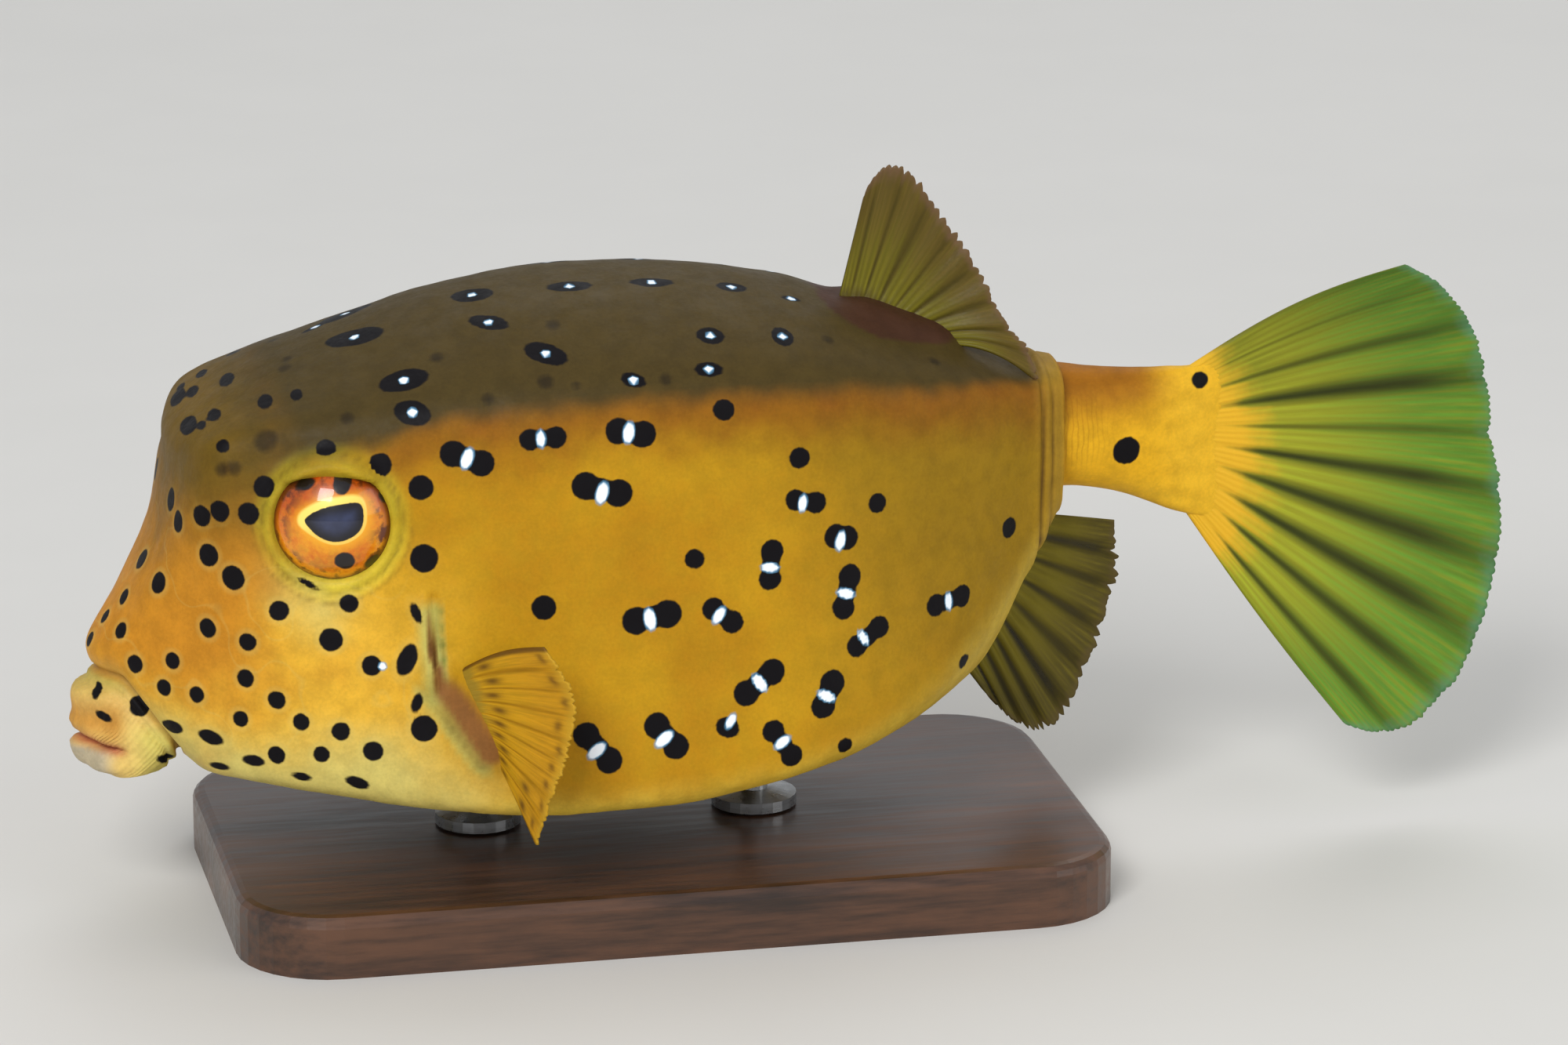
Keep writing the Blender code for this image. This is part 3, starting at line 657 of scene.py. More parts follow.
@dataclass(frozen=True)
class EyeFinish:
    """A wet eye: a blue-black pupil in a bright ring, an orange iris with brown clouds and black spots."""

    iris: tuple = srgb(214, 106, 0)
    iris_top: tuple = srgb(178, 62, 0)
    iris_light: tuple = srgb(244, 170, 20)
    iris_dark: tuple = srgb(96, 40, 10)
    ring: tuple = srgb(255, 226, 110)
    pupil: tuple = srgb(20, 22, 42)
    pupil_light: tuple = srgb(58, 66, 98)
    pupil_edge: tuple = srgb(10, 6, 12)
    spot: tuple = srgb(16, 8, 12)
    ring_strength: Span = (0.6, 0.95)
    ring_width: Span = (0.42, 0.95)
    specular: float = 0.3
    wetness: float = 0.6

    def build(self) -> bpy.types.Material:
        """Make the eye's material from the mesh's masks.

        Returns:
            The material.
        """
        material, graph, shader = new_material("boxfish_eye")
        height = graph.attribute("height")
        clouds = graph.group(Effect.MOTTLE, scale=260.0, low=0.0, high=1.0)
        warm = graph.mix(graph.ranged(height, -1.0, 4.0), self.iris, self.iris_top)
        colour = graph.mix(graph.math("MULTIPLY", clouds, graph.ranged(height, -3.0, 5.0, 1.0, 0.2)), warm,
                           self.iris_light)
        outer = graph.ranged(graph.attribute("reach"), 4.4, 7.0)
        brown = graph.ranged(graph.noise(520.0, 4.0), 0.46, 0.62)
        colour = graph.mix(graph.math("MULTIPLY", brown, graph.math("ADD", outer, 0.2), clamp=True),
                           colour, self.iris_dark)
        colour = graph.mix(graph.ranged(graph.attribute("reach"), 6.2, 7.2), colour, self.iris_dark)
        pupil = graph.attribute("pupil")
        colour = graph.mix(graph.ranged(pupil, 0.3, 2.0, 0.8, 0.0), colour, self.iris_light)
        lit = graph.attribute("lit")
        bright = graph.ranged(lit, -0.4, 0.9, *self.ring_strength)
        width = graph.ranged(lit, -0.4, 0.9, *self.ring_width)
        ring = graph.ranged(graph.math("DIVIDE", pupil, width), 0.7, 1.2, 1.0, 0.0)
        colour = graph.mix(graph.math("MULTIPLY", ring, bright), colour, self.ring)
        edge = graph.group(Effect.EDGE, distance=pupil, softness=0.08, waver=0.1)
        colour = graph.mix(edge, colour, self.pupil_edge)
        inside = graph.ranged(pupil, -1.9, -0.15, 1.0, 0.0)
        depth = graph.mix(graph.noise(500.0, 2.0), self.pupil, self.pupil_light)
        colour = graph.mix(inside, colour, depth)
        spots = graph.group(Effect.EDGE, distance=graph.attribute("spot"), softness=0.14, waver=0.35)
        colour = graph.mix(spots, colour, self.spot)
        graph.feed(shader.inputs["Base Color"], colour)
        graph.feed(shader.inputs["Roughness"], graph.group(Effect.MOTTLE, scale=300.0, low=0.26, high=0.38))
        shader.inputs["Specular IOR Level"].default_value = self.specular
        shader.inputs["Coat Weight"].default_value = self.wetness
        shader.inputs["Coat Roughness"].default_value = 0.03
        add_bump(graph, shader, graph.noise(1800.0, 3.0), 0.12, 0.0001)
        return material


@dataclass(frozen=True)
class FinFinish:
    """Thin fin membrane between paler rays, with its own foot, edge and see-through share."""

    name: str
    ray: tuple
    outer: tuple
    membrane: tuple
    foot: tuple
    edge: tuple
    strand: tuple
    dashes: tuple = srgb(84, 52, 14)
    clear: float = 0.25
    foot_reach: float = 0.2
    edge_start: float = 0.9
    strand_strength: float = 0.35
    dash_strength: float = 0.0
    first_shade: float = 1.0
    first_foot: float = 0.0
    specular: float = 0.16
    subsurface: float = 0.2
    subsurface_reach: Triple = (0.8, 0.8, 0.3)
    subsurface_depth: float = 0.001

    def build(self) -> bpy.types.Material:
        """Make the fin's material from the mesh's masks.

        Returns:
            The material.
        """
        material, graph, shader = new_material(self.name)
        span = graph.attribute("span")
        ray = graph.attribute("ray")
        fan = graph.attribute("fan")
        lengthwise = graph.add("ShaderNodeCombineXYZ")
        graph.feed(lengthwise.inputs[0], graph.math("MULTIPLY", fan, 60.0))
        graph.feed(lengthwise.inputs[1], graph.math("MULTIPLY", span, 2.6))
        streak = graph.noise(1.0, 4.0, lengthwise.outputs[0], 0.6)
        reach = graph.math("ADD", span, graph.math("MULTIPLY", graph.math("SUBTRACT", streak, 0.5), 0.7))
        colour = graph.mix(graph.ranged(reach, 0.25, 0.85), self.ray, self.outer)
        lively = graph.ranged(streak, 0.3, 0.7, 0.5, 1.5)
        filaments = graph.math("MULTIPLY", graph.attribute("strand"), lively)
        strands = graph.math("MULTIPLY", filaments, self.strand_strength, clamp=True)
        colour = graph.mix(strands, colour, self.strand)
        colour = graph.mix(ray, self.membrane, colour)
        colour = graph.mix(1.0, colour, graph.ranged(streak, 0.3, 0.7, 0.8, 1.16), blend="MULTIPLY")
        colour = graph.mix(1.0, colour, graph.ranged(fan, 0.0, 0.5, self.first_shade, 1.0), blend="MULTIPLY")
        uneven = graph.math("MULTIPLY", graph.math("SUBTRACT", graph.noise(300.0, 3.0), 0.5), 0.12)
        streaky = graph.math("MULTIPLY", graph.math("SUBTRACT", streak, ray), 0.12)
        wandering = graph.math("ADD", graph.math("ADD", span, uneven), streaky)
        wandering = graph.math("ADD", wandering, graph.ranged(fan, 0.05, 0.45, self.first_foot, 0.0))
        foot = graph.ranged(wandering, self.foot_reach * 0.35, self.foot_reach, 1.0, 0.0)
        colour = graph.mix(foot, colour, self.foot)
        edge = graph.ranged(graph.math("ADD", span, uneven), self.edge_start, self.edge_start + 0.1, 0.0, 0.8)
        colour = graph.mix(edge, colour, self.edge)
        dashes = graph.math("MULTIPLY", graph.attribute("dash"), self.dash_strength)
        colour = graph.mix(dashes, colour, self.dashes)
        graph.feed(shader.inputs["Base Color"], colour)
        graph.feed(shader.inputs["Roughness"], graph.group(Effect.MOTTLE, scale=500.0, low=0.4, high=0.54))
        shader.inputs["Specular IOR Level"].default_value = self.specular
        shader.inputs["Subsurface Weight"].default_value = self.subsurface
        shader.inputs["Subsurface Radius"].default_value = self.subsurface_reach
        shader.inputs["Subsurface Scale"].default_value = self.subsurface_depth
        solid = graph.math("MAXIMUM", ray, foot)
        graph.feed(shader.inputs["Alpha"], graph.ranged(solid, 0.0, 0.8, 1.0 - self.clear, 1.0))
        add_bump(graph, shader, graph.group(Effect.GRAIN, scale=2200.0, height=1.0), 0.3, 0.00008)
        return material


@dataclass(frozen=True)
class WoodFinish:
    """Dark stained wood with straight grain along the base and a satin varnish."""

    dark: tuple = srgb(42, 26, 17)
    light: tuple = srgb(92, 58, 36)

    def build(self) -> bpy.types.Material:
        """Make the wood's material.

        Returns:
            The material.
        """
        material, graph, shader = new_material("stand_wood_finish")
        stretch = graph.add("ShaderNodeMapping")
        graph.feed(stretch.inputs["Vector"], graph.place())
        stretch.inputs["Scale"].default_value = (0.09, 1.0, 1.0)
        fibres = graph.noise(900.0, 5.0, stretch.outputs["Vector"], 0.6)
        bands = graph.noise(130.0, 3.0, stretch.outputs["Vector"], 0.5)
        figure = graph.math("ADD", graph.math("MULTIPLY", fibres, 0.5), graph.math("MULTIPLY", bands, 0.5))
        tone = graph.ranged(figure, 0.34, 0.66)
        colour = graph.mix(tone, self.dark, self.light)
        shade = graph.group(Effect.MOTTLE, scale=60.0, low=0.86, high=1.08)
        graph.feed(shader.inputs["Base Color"], graph.mix(1.0, colour, shade, blend="MULTIPLY"))
        graph.feed(shader.inputs["Roughness"], graph.ranged(fibres, 0.3, 0.7, 0.34, 0.5))
        shader.inputs["Coat Weight"].default_value = 0.35
        shader.inputs["Coat Roughness"].default_value = 0.25
        add_bump(graph, shader, fibres, 0.25, 0.0001)
        return material


@dataclass(frozen=True)
class MetalFinish:
    """Turned steel with fine rings round the rod and a few dull places."""

    bright: tuple = srgb(196, 198, 200)
    dull: tuple = srgb(150, 150, 150)

    def build(self) -> bpy.types.Material:
        """Make the metal's material.

        Returns:
            The material.
        """
        material, graph, shader = new_material("stand_metal_finish")
        stretch = graph.add("ShaderNodeMapping")
        graph.feed(stretch.inputs["Vector"], graph.place())
        stretch.inputs["Scale"].default_value = (0.1, 0.1, 4.0)
        rings = graph.noise(1500.0, 3.0, stretch.outputs["Vector"])
        graph.feed(shader.inputs["Base Color"], graph.mix(rings, self.dull, self.bright))
        graph.feed(shader.inputs["Roughness"], graph.group(Effect.MOTTLE, scale=500.0, low=0.24, high=0.4))
        shader.inputs["Metallic"].default_value = 1.0
        add_bump(graph, shader, rings, 0.2, 0.00005)
        return material


@dataclass(frozen=True)
class FloorFinish:
    """A plain pale matt floor with the faintest unevenness."""

    colour: tuple = srgb(212, 210, 206)

    def build(self) -> bpy.types.Material:
        """Make the floor's material.

        Returns:
            The material.
        """
        material, graph, shader = new_material("pale_floor")
        tone = graph.group(Effect.MOTTLE, scale=6.0, low=0.98, high=1.01)
        graph.feed(shader.inputs["Base Color"], graph.mix(1.0, self.colour, tone, blend="MULTIPLY"))
        shader.inputs["Roughness"].default_value = 0.75
        return material


@dataclass(frozen=True)
class Station:
    """One cross-section of the carapace, given by the lines that run along the body."""

    place: str
    crown: tuple[float, float]
    upper_ridge: Triple
    lower_ridge: Triple
    keel: tuple[float, float]
    flank_bow: float
    ridge_round: float


STATIONS = (
    Station("mouth rim", (-88.8, -9.6), (-85.4, 5.6, -9.7), (-79.4, 8.4, -17.6), (-78.2, -21.2), 0.8, 1.0),
    Station("nose", (-89.3, -6.2), (-86.2, 7.6, -5.8), (-78.2, 11.4, -18.9), (-76.4, -22.0), 1.2, 1.4),
    Station("snout", (-85.4, -0.2), (-83.0, 9.6, 0.4), (-76.4, 15.2, -19.8), (-74.2, -22.3), 1.4, 1.8),
    Station("bridge", (-81.2, 7.2), (-79.4, 11.8, 8.4), (-72.8, 18.2, -20.1), (-70.6, -22.6), 1.4, 2.0),
    Station("forehead", (-79.2, 15.4), (-77.4, 14.2, 16.8), (-68.6, 20.9, -20.4), (-66.8, -22.9), 1.2, 2.0),
    Station("brow", (-77.8, 21.8), (-74.4, 16.6, 23.4), (-63.6, 23.6, -20.9), (-62.0, -23.5), 0.8, 2.2),
    Station("nape", (-67.6, 28.6), (-65.0, 19.2, 25.6), (-57.8, 25.8, -21.7), (-56.6, -24.4), 0.4, 2.6),
    Station("gill", (-53.0, 34.0), (-51.6, 21.5, 26.7), (-51.0, 27.5, -22.8), (-50.2, -25.5), 0.0, 3.0),
    Station("shoulder", (-43.0, 36.8), (-42.0, 22.6, 27.2), (-39.0, 29.4, -24.0), (-38.6, -26.8), -0.6, 3.2),
    Station("chest", (-30.0, 38.6), (-30.0, 23.4, 28.0), (-26.0, 30.2, -24.0), (-26.0, -27.0), -0.8, 3.2),
    Station("middle", (-15.0, 38.2), (-15.0, 23.4, 28.2), (-14.0, 29.8, -23.2), (-14.0, -26.2), -0.8, 3.2),
    Station("loin", (-1.5, 36.0), (-2.0, 22.4, 28.0), (-2.0, 28.2, -21.0), (-2.0, -24.2), -0.6, 3.0),
    Station("fin root", (8.0, 32.8), (7.0, 20.4, 27.2), (8.0, 25.0, -18.2), (9.0, -22.0), -0.4, 2.8),
    Station("rump", (16.5, 29.4), (15.5, 17.6, 25.8), (16.0, 20.4, -14.2), (18.2, -19.6), 0.0, 2.6),
    Station("vent", (23.5, 26.6), (22.4, 14.4, 24.0), (22.4, 15.8, -9.0), (25.0, -15.6), 0.2, 2.4),
    Station("anal root", (29.4, 24.8), (28.8, 10.6, 22.4), (28.4, 10.8, -3.0), (29.8, -7.4), 0.2, 2.0),
    Station("tail rim", (34.5, 23.8), (34.5, 6.8, 21.6), (34.5, 6.8, 5.4), (34.5, 2.4), 0.2, 1.6),
)


@dataclass(frozen=True)
class BodyForm:
    """The body's sections from the lips to the tail, all with the same points in the same order."""

    crown_points: int = 30
    flank_points: int = 84
    keel_points: int = 24
    outline_samples: int = 720
    fine_ring: float = 0.52
    coarse_ring: float = 0.64
    rim_ring: float = 0.34
    muzzle_reach: Triple = (-4.9, 0.0, -7.6)
    muzzle_shape: tuple = ((0.0, 1.0), (0.05, 0.975), (0.25, 0.97), (0.5, 0.9), (0.7, 0.8), (0.85, 0.66),
                           (0.95, 0.46), (1.0, 0.2), (1.0, 0.02))
    muzzle_rings: int = 40
    chin_z: float = -22.3
    chin_flatness: float = 0.35
    stalk_shape: tuple = ((34.8, 14.6, 8.2, 5.4), (38.5, 14.2, 8.0, 5.2), (43.0, 13.4, 8.2, 4.6),
                          (48.0, 12.4, 8.9, 3.6), (52.5, 11.4, 9.7, 2.0), (57.6, 11.2, 10.8, 0.3))
    stalk_rings: int = 34
    stalk_flattened: Span = (44.0, 56.0)
    neck: Span = (-48.0, -40.0)
    rim_approach: Span = (27.0, 30.0)
    rim_fold: tuple = ((0.45, 0.1), (0.6, 0.3), (0.35, 0.62), (-0.2, 0.9))

    @property
    def half_points(self) -> int:
        """Give the points of half a ring."""
        return self.crown_points + self.flank_points + self.keel_points

    def half_outline(self, place: float) -> np.ndarray:
        """Give the unrounded half of a section on +Y, from crown to keel, a third to each face.

        Args:
            place: Where along the stations the section is.

        Returns:
            The half's points.
        """
        at = np.array([place])
        crown, upper, lower, keel = (
            spline([getattr(station, line) for station in STATIONS], at)[0]
            for line in ("crown", "upper_ridge", "lower_ridge", "keel"))
        bow = spline([(station.flank_bow,) for station in STATIONS], at)[0, 0]
        count = self.outline_samples // 6
        share = np.linspace(0.0, 1.0, count, endpoint=False)
        arch = 1.0 - share ** 2
        top = np.stack((upper[0] + (crown[0] - upper[0]) * arch, upper[1] * share,
                        upper[2] + (crown[1] - upper[2]) * arch), axis=1)
        side = upper + (lower - upper) * share[:, None]
        side[:, 1] += bow * 4.0 * share * (1.0 - share)
        share = np.linspace(0.0, 1.0, count + 1)
        sag = 1.0 - (1.0 - share) ** 2
        under = np.stack((lower[0] + (keel[0] - lower[0]) * sag, lower[1] * (1.0 - share),
                          lower[2] + (keel[1] - lower[2]) * sag), axis=1)
        return np.concatenate((top, side, under))

    def section(self, place: float) -> tuple[np.ndarray, np.ndarray, np.ndarray]:
        """Give a rounded section, and how far each point is above the upper and the lower ridge.

        Args:
            place: Where along the stations the section is.

        Returns:
            The ring's points, and the run from each to the upper and to the lower ridge.
        """
        half = self.half_outline(place)
        ring = np.concatenate((half, half[-2:0:-1] * (1.0, -1.0, 1.0)))
        closed = np.concatenate((ring, ring[:1]))
        run = np.concatenate(([0.0], np.cumsum(np.linalg.norm(np.diff(closed, axis=0), axis=1))))
        even = np.linspace(0.0, run[-1], self.outline_samples, endpoint=False)
        points = np.stack([np.interp(even, run, closed[:, axis]) for axis in range(3)], axis=1)
        rounding = spline([(station.ridge_round,) for station in STATIONS], np.array([place]))[0, 0]
        width = rounding * self.outline_samples / run[-1]
        order = np.arange(self.outline_samples)
        reach = np.minimum(order, self.outline_samples - order)
        weight = np.exp(-0.5 * (reach / width) ** 2)
        weight /= weight.sum()
        rounded = np.fft.ifft(np.fft.fft(points, axis=0) * np.fft.fft(weight)[:, None], axis=0).real
        count = self.outline_samples // 6
        upper_at = run[count] / run[-1]
        lower_at = run[2 * count] / run[-1]
        half_shares = np.concatenate((
            np.linspace(0.0, upper_at, self.crown_points, endpoint=False),
            np.linspace(upper_at, lower_at, self.flank_points, endpoint=False),
            np.linspace(lower_at, 0.5, self.keel_points + 1),
        ))
        shares = np.concatenate((half_shares, 1.0 - half_shares[-2:0:-1]))
        places = np.arange(self.outline_samples + 1) / self.outline_samples
        looped = np.concatenate((rounded, rounded[:1]))
        placed = np.stack([np.interp(shares, places, looped[:, axis]) for axis in range(3)], axis=1)
        down = np.minimum(shares, 1.0 - shares)
        return placed, (upper_at - down) * run[-1], (lower_at - down) * run[-1]

    def ring_places(self) -> np.ndarray:
        """Choose where the carapace's rings are: close together on the head, wider behind it.

        Returns:
            Places along the stations, from 0 to the last one's number.
        """
        last = len(STATIONS) - 1
        tries = np.linspace(0.0, last, 801)
        ridge = spline([station.upper_ridge for station in STATIONS], tries)
        step = np.linalg.norm(np.diff(ridge, axis=0), axis=1)
        middle = 0.5 * (ridge[1:, 0] + ridge[:-1, 0])
        behind_head = smoothstep(*self.neck, middle)
        spacing = self.fine_ring + (self.coarse_ring - self.fine_ring) * behind_head
        spacing += (self.rim_ring - spacing) * smoothstep(*self.rim_approach, middle)
        count = np.concatenate(([0.0], np.cumsum(step / spacing)))
        return np.interp(np.linspace(0.0, count[-1], round(count[-1]) + 1), count, tries)

    def muzzle(self) -> tuple[np.ndarray, np.ndarray]:
        """Give the muzzle's rings from the tip of the lips to the mouth rim.

        Returns:
            The rings, and how far in front of the rim each is.
        """
        rim, _, _ = self.section(0.0)
        centre = rim.mean(axis=0)
        reach = np.array(self.muzzle_reach)
        keys = spline(self.muzzle_shape, np.linspace(len(self.muzzle_shape) - 1, 0.0, self.muzzle_rings,
                                                     endpoint=False))
        grid = np.array([centre + (rim - centre) * scale + reach * share for share, scale in keys])
        low = grid[:, :, 2] < self.chin_z
        grid[:, :, 2][low] = self.chin_z + (grid[:, :, 2][low] - self.chin_z) * self.chin_flatness
        return grid, keys[:, 0] * np.linalg.norm(reach)

    def stalk(self) -> np.ndarray:
        """Give the tail stalk's rings, from the carapace's rim into the tail fin's root.

        Returns:
            The rings.
        """
        half = np.linspace(0.0, math.pi, self.half_points + 1)
        angle = np.concatenate((half, half[-2:0:-1] * -1.0))
        rings = []
        for x, middle, height, width in spline(self.stalk_shape,
                                               np.linspace(0.0, len(self.stalk_shape) - 1, self.stalk_rings)):
            square = 1.0 - 0.5 * float(smoothstep(*self.stalk_flattened, np.float64(x)))
            side = width * np.sign(np.sin(angle)) * np.abs(np.sin(angle)) ** square
            rings.append(np.stack((np.full(len(angle), x), side, middle + height * np.cos(angle)), axis=1))
        return np.array(rings)


@dataclass(frozen=True)
class EyeForm:
    """Where the eyes are and how large: a flattened ball that looks out and a little forwards."""

    centre: Triple = (-60.6, 19.4, 13.6)
    radius: float = 7.8
    depth: float = 5.8
    toe_in: float = math.radians(14.0)
    lid_radius: float = 7.15

    def middle(self, side: float) -> np.ndarray:
        """Give one eye's centre."""
        return np.array((self.centre[0], side * self.centre[1], self.centre[2]))

    def axis(self, side: float) -> np.ndarray:
        """Give the way in which one eye looks."""
        return np.array((-math.sin(self.toe_in), side * math.cos(self.toe_in), 0.0))

    def reach(self, points: np.ndarray, side: float) -> tuple[np.ndarray, np.ndarray]:
        """Measure points from one eye.

        Args:
            points: The points, in the last axis.
            side: Which eye.

        Returns:
            How far each is from the eye's axis, and how far out along it.
        """
        offset = points - self.middle(side)
        out = offset @ self.axis(side)
        return np.linalg.norm(offset - out[..., None] * self.axis(side), axis=-1), out


@dataclass(frozen=True)
class Marks:
    """The marks of the left side by their places in the photograph: across, down and radius in pixels."""

    cheek: tuple = (
        (257, 658, 14), (227, 665, 14), (218, 637, 15), (280, 652, 14), (317, 655, 14), (337, 621, 14),
        (416, 573, 13), (485, 593, 15), (537, 622, 16), (541, 712, 18), (181, 713, 14), (202, 743, 14),
        (266, 708, 15), (297, 737, 16), (158, 761, 11), (134, 786, 10), (154, 804, 11), (114, 815, 10),
        (172, 847, 12), (220, 843, 11), (265, 801, 13), (316, 819, 12), (356, 779, 13), (445, 770, 12),
        (422, 816, 15), (474, 849, 13), (209, 877, 11), (251, 886, 11), (313, 865, 12), (353, 893, 12),
        (307, 917, 11), (384, 921, 11), (435, 933, 12), (476, 958, 13), (410, 962, 11), (353, 963, 12),
        (177, 901, 14), (541, 929, 17),
    )
    streaks: tuple = (
        (385, 741, 403, 750, 6), (374, 617, 388, 612, 6), (523, 833, 516, 851, 12), (528, 775, 534, 790, 7),
        (213, 926, 226, 928, 10), (262, 938, 276, 943, 10), (316, 969, 330, 971, 8), (272, 976, 288, 978, 6),
        (205, 967, 216, 966, 8), (376, 989, 392, 992, 6), (448, 996, 464, 1001, 8), (534, 890, 530, 903, 7),
        (126, 875, 122, 886, 7), (127, 911, 137, 916, 7),
    )
    forehead: tuple = (
        (240, 542, 13), (245, 499, 10), (257, 476, 9), (289, 484, 11), (231, 493, 7), (338, 512, 10),
        (378, 503, 8), (284, 569, 9),
    )
    flank: tuple = (
        (694, 775, 16), (886, 713, 13), (1020, 584, 14), (1119, 642, 13), (923, 523, 14), (1287, 673, 14),
        (1229, 844, 11), (1078, 951, 11),
    )
    stalk: tuple = ((1437, 575, 19), (1531, 485, 12))
    # The third and fourth are the dark openings of the nostril pits, painted shade; the rest are faint marks.
    faint: tuple = (
        (339, 562, 14), (443, 533, 8), (284, 599, 9), (298, 597, 9), (705, 414, 9), (696, 487, 10),
        (735, 492, 6), (623, 509, 8), (849, 484, 8), (366, 458, 7), (348, 434, 9), (557, 456, 8),
        (1056, 433, 8), (1192, 461, 8),
    )
    barred: tuple = (
        (596, 585, 578, 579, 614, 591, 17), (690, 560, 676, 561, 709, 558, 14),
        (802, 552, 789, 550, 820, 554, 17), (768, 629, 747, 620, 789, 629, 18),
        (829, 790, 811, 792, 852, 783, 18), (917, 785, 910, 777, 934, 793, 15),
        (982, 724, 985, 703, 982, 738, 15), (1024, 642, 1015, 638, 1041, 641, 14),
        (1072, 690, 1066, 684, 1080, 686, 16), (1079, 757, 1084, 735, 1076, 775, 16),
        (1101, 813, 1121, 800, 1093, 824, 15), (1210, 767, 1194, 772, 1227, 760, 15),
        (969, 871, 985, 857, 952, 884, 17), (1054, 888, 1062, 871, 1050, 900, 17),
        (932, 920, 930, 929, 926, 927, 13), (998, 947, 987, 933, 1010, 964, 15),
        (847, 943, 838, 926, 862, 952, 17), (761, 958, 748, 938, 777, 970, 17),
    )
    back_dots: tuple = (
        (402, 417, 44, 14, 0), (452, 430, 76, 20, 10), (602, 376, 55, 16, 4), (623, 411, 53, 18, -10),
        (696, 451, 60, 26, -18), (726, 365, 60, 13, 3), (831, 360, 58, 11, 0), (933, 366, 40, 11, -4),
        (1009, 381, 26, 6, -8), (906, 428, 38, 22, -8), (998, 429, 28, 24, 0), (904, 471, 38, 20, 0),
        (808, 485, 36, 20, -16), (515, 485, 66, 28, 14), (526, 526, 50, 32, -16),
    )
    stray_white: tuple = ((488, 850, 5),)


@dataclass(frozen=True)
class Mark:
    """An oval mark on the skin, by its centre, the way it lies and half its length and width."""

    centre: Vector
    along: Vector
    half_length: float
    half_width: float

    def distance(self, points: np.ndarray) -> np.ndarray:
        """Measure points from the mark's edge, less than 0 inside it.

        Args:
            points: The points, one row each.

        Returns:
            The distance of each.
        """
        offset = points - np.array(self.centre)
        run = offset @ np.array(self.along)
        beside = np.maximum((offset ** 2).sum(axis=-1) - run ** 2, 0.0)
        share = (run / self.half_length) ** 2 + beside / self.half_width ** 2
        return 0.5 * self.half_width * (share - 1.0)


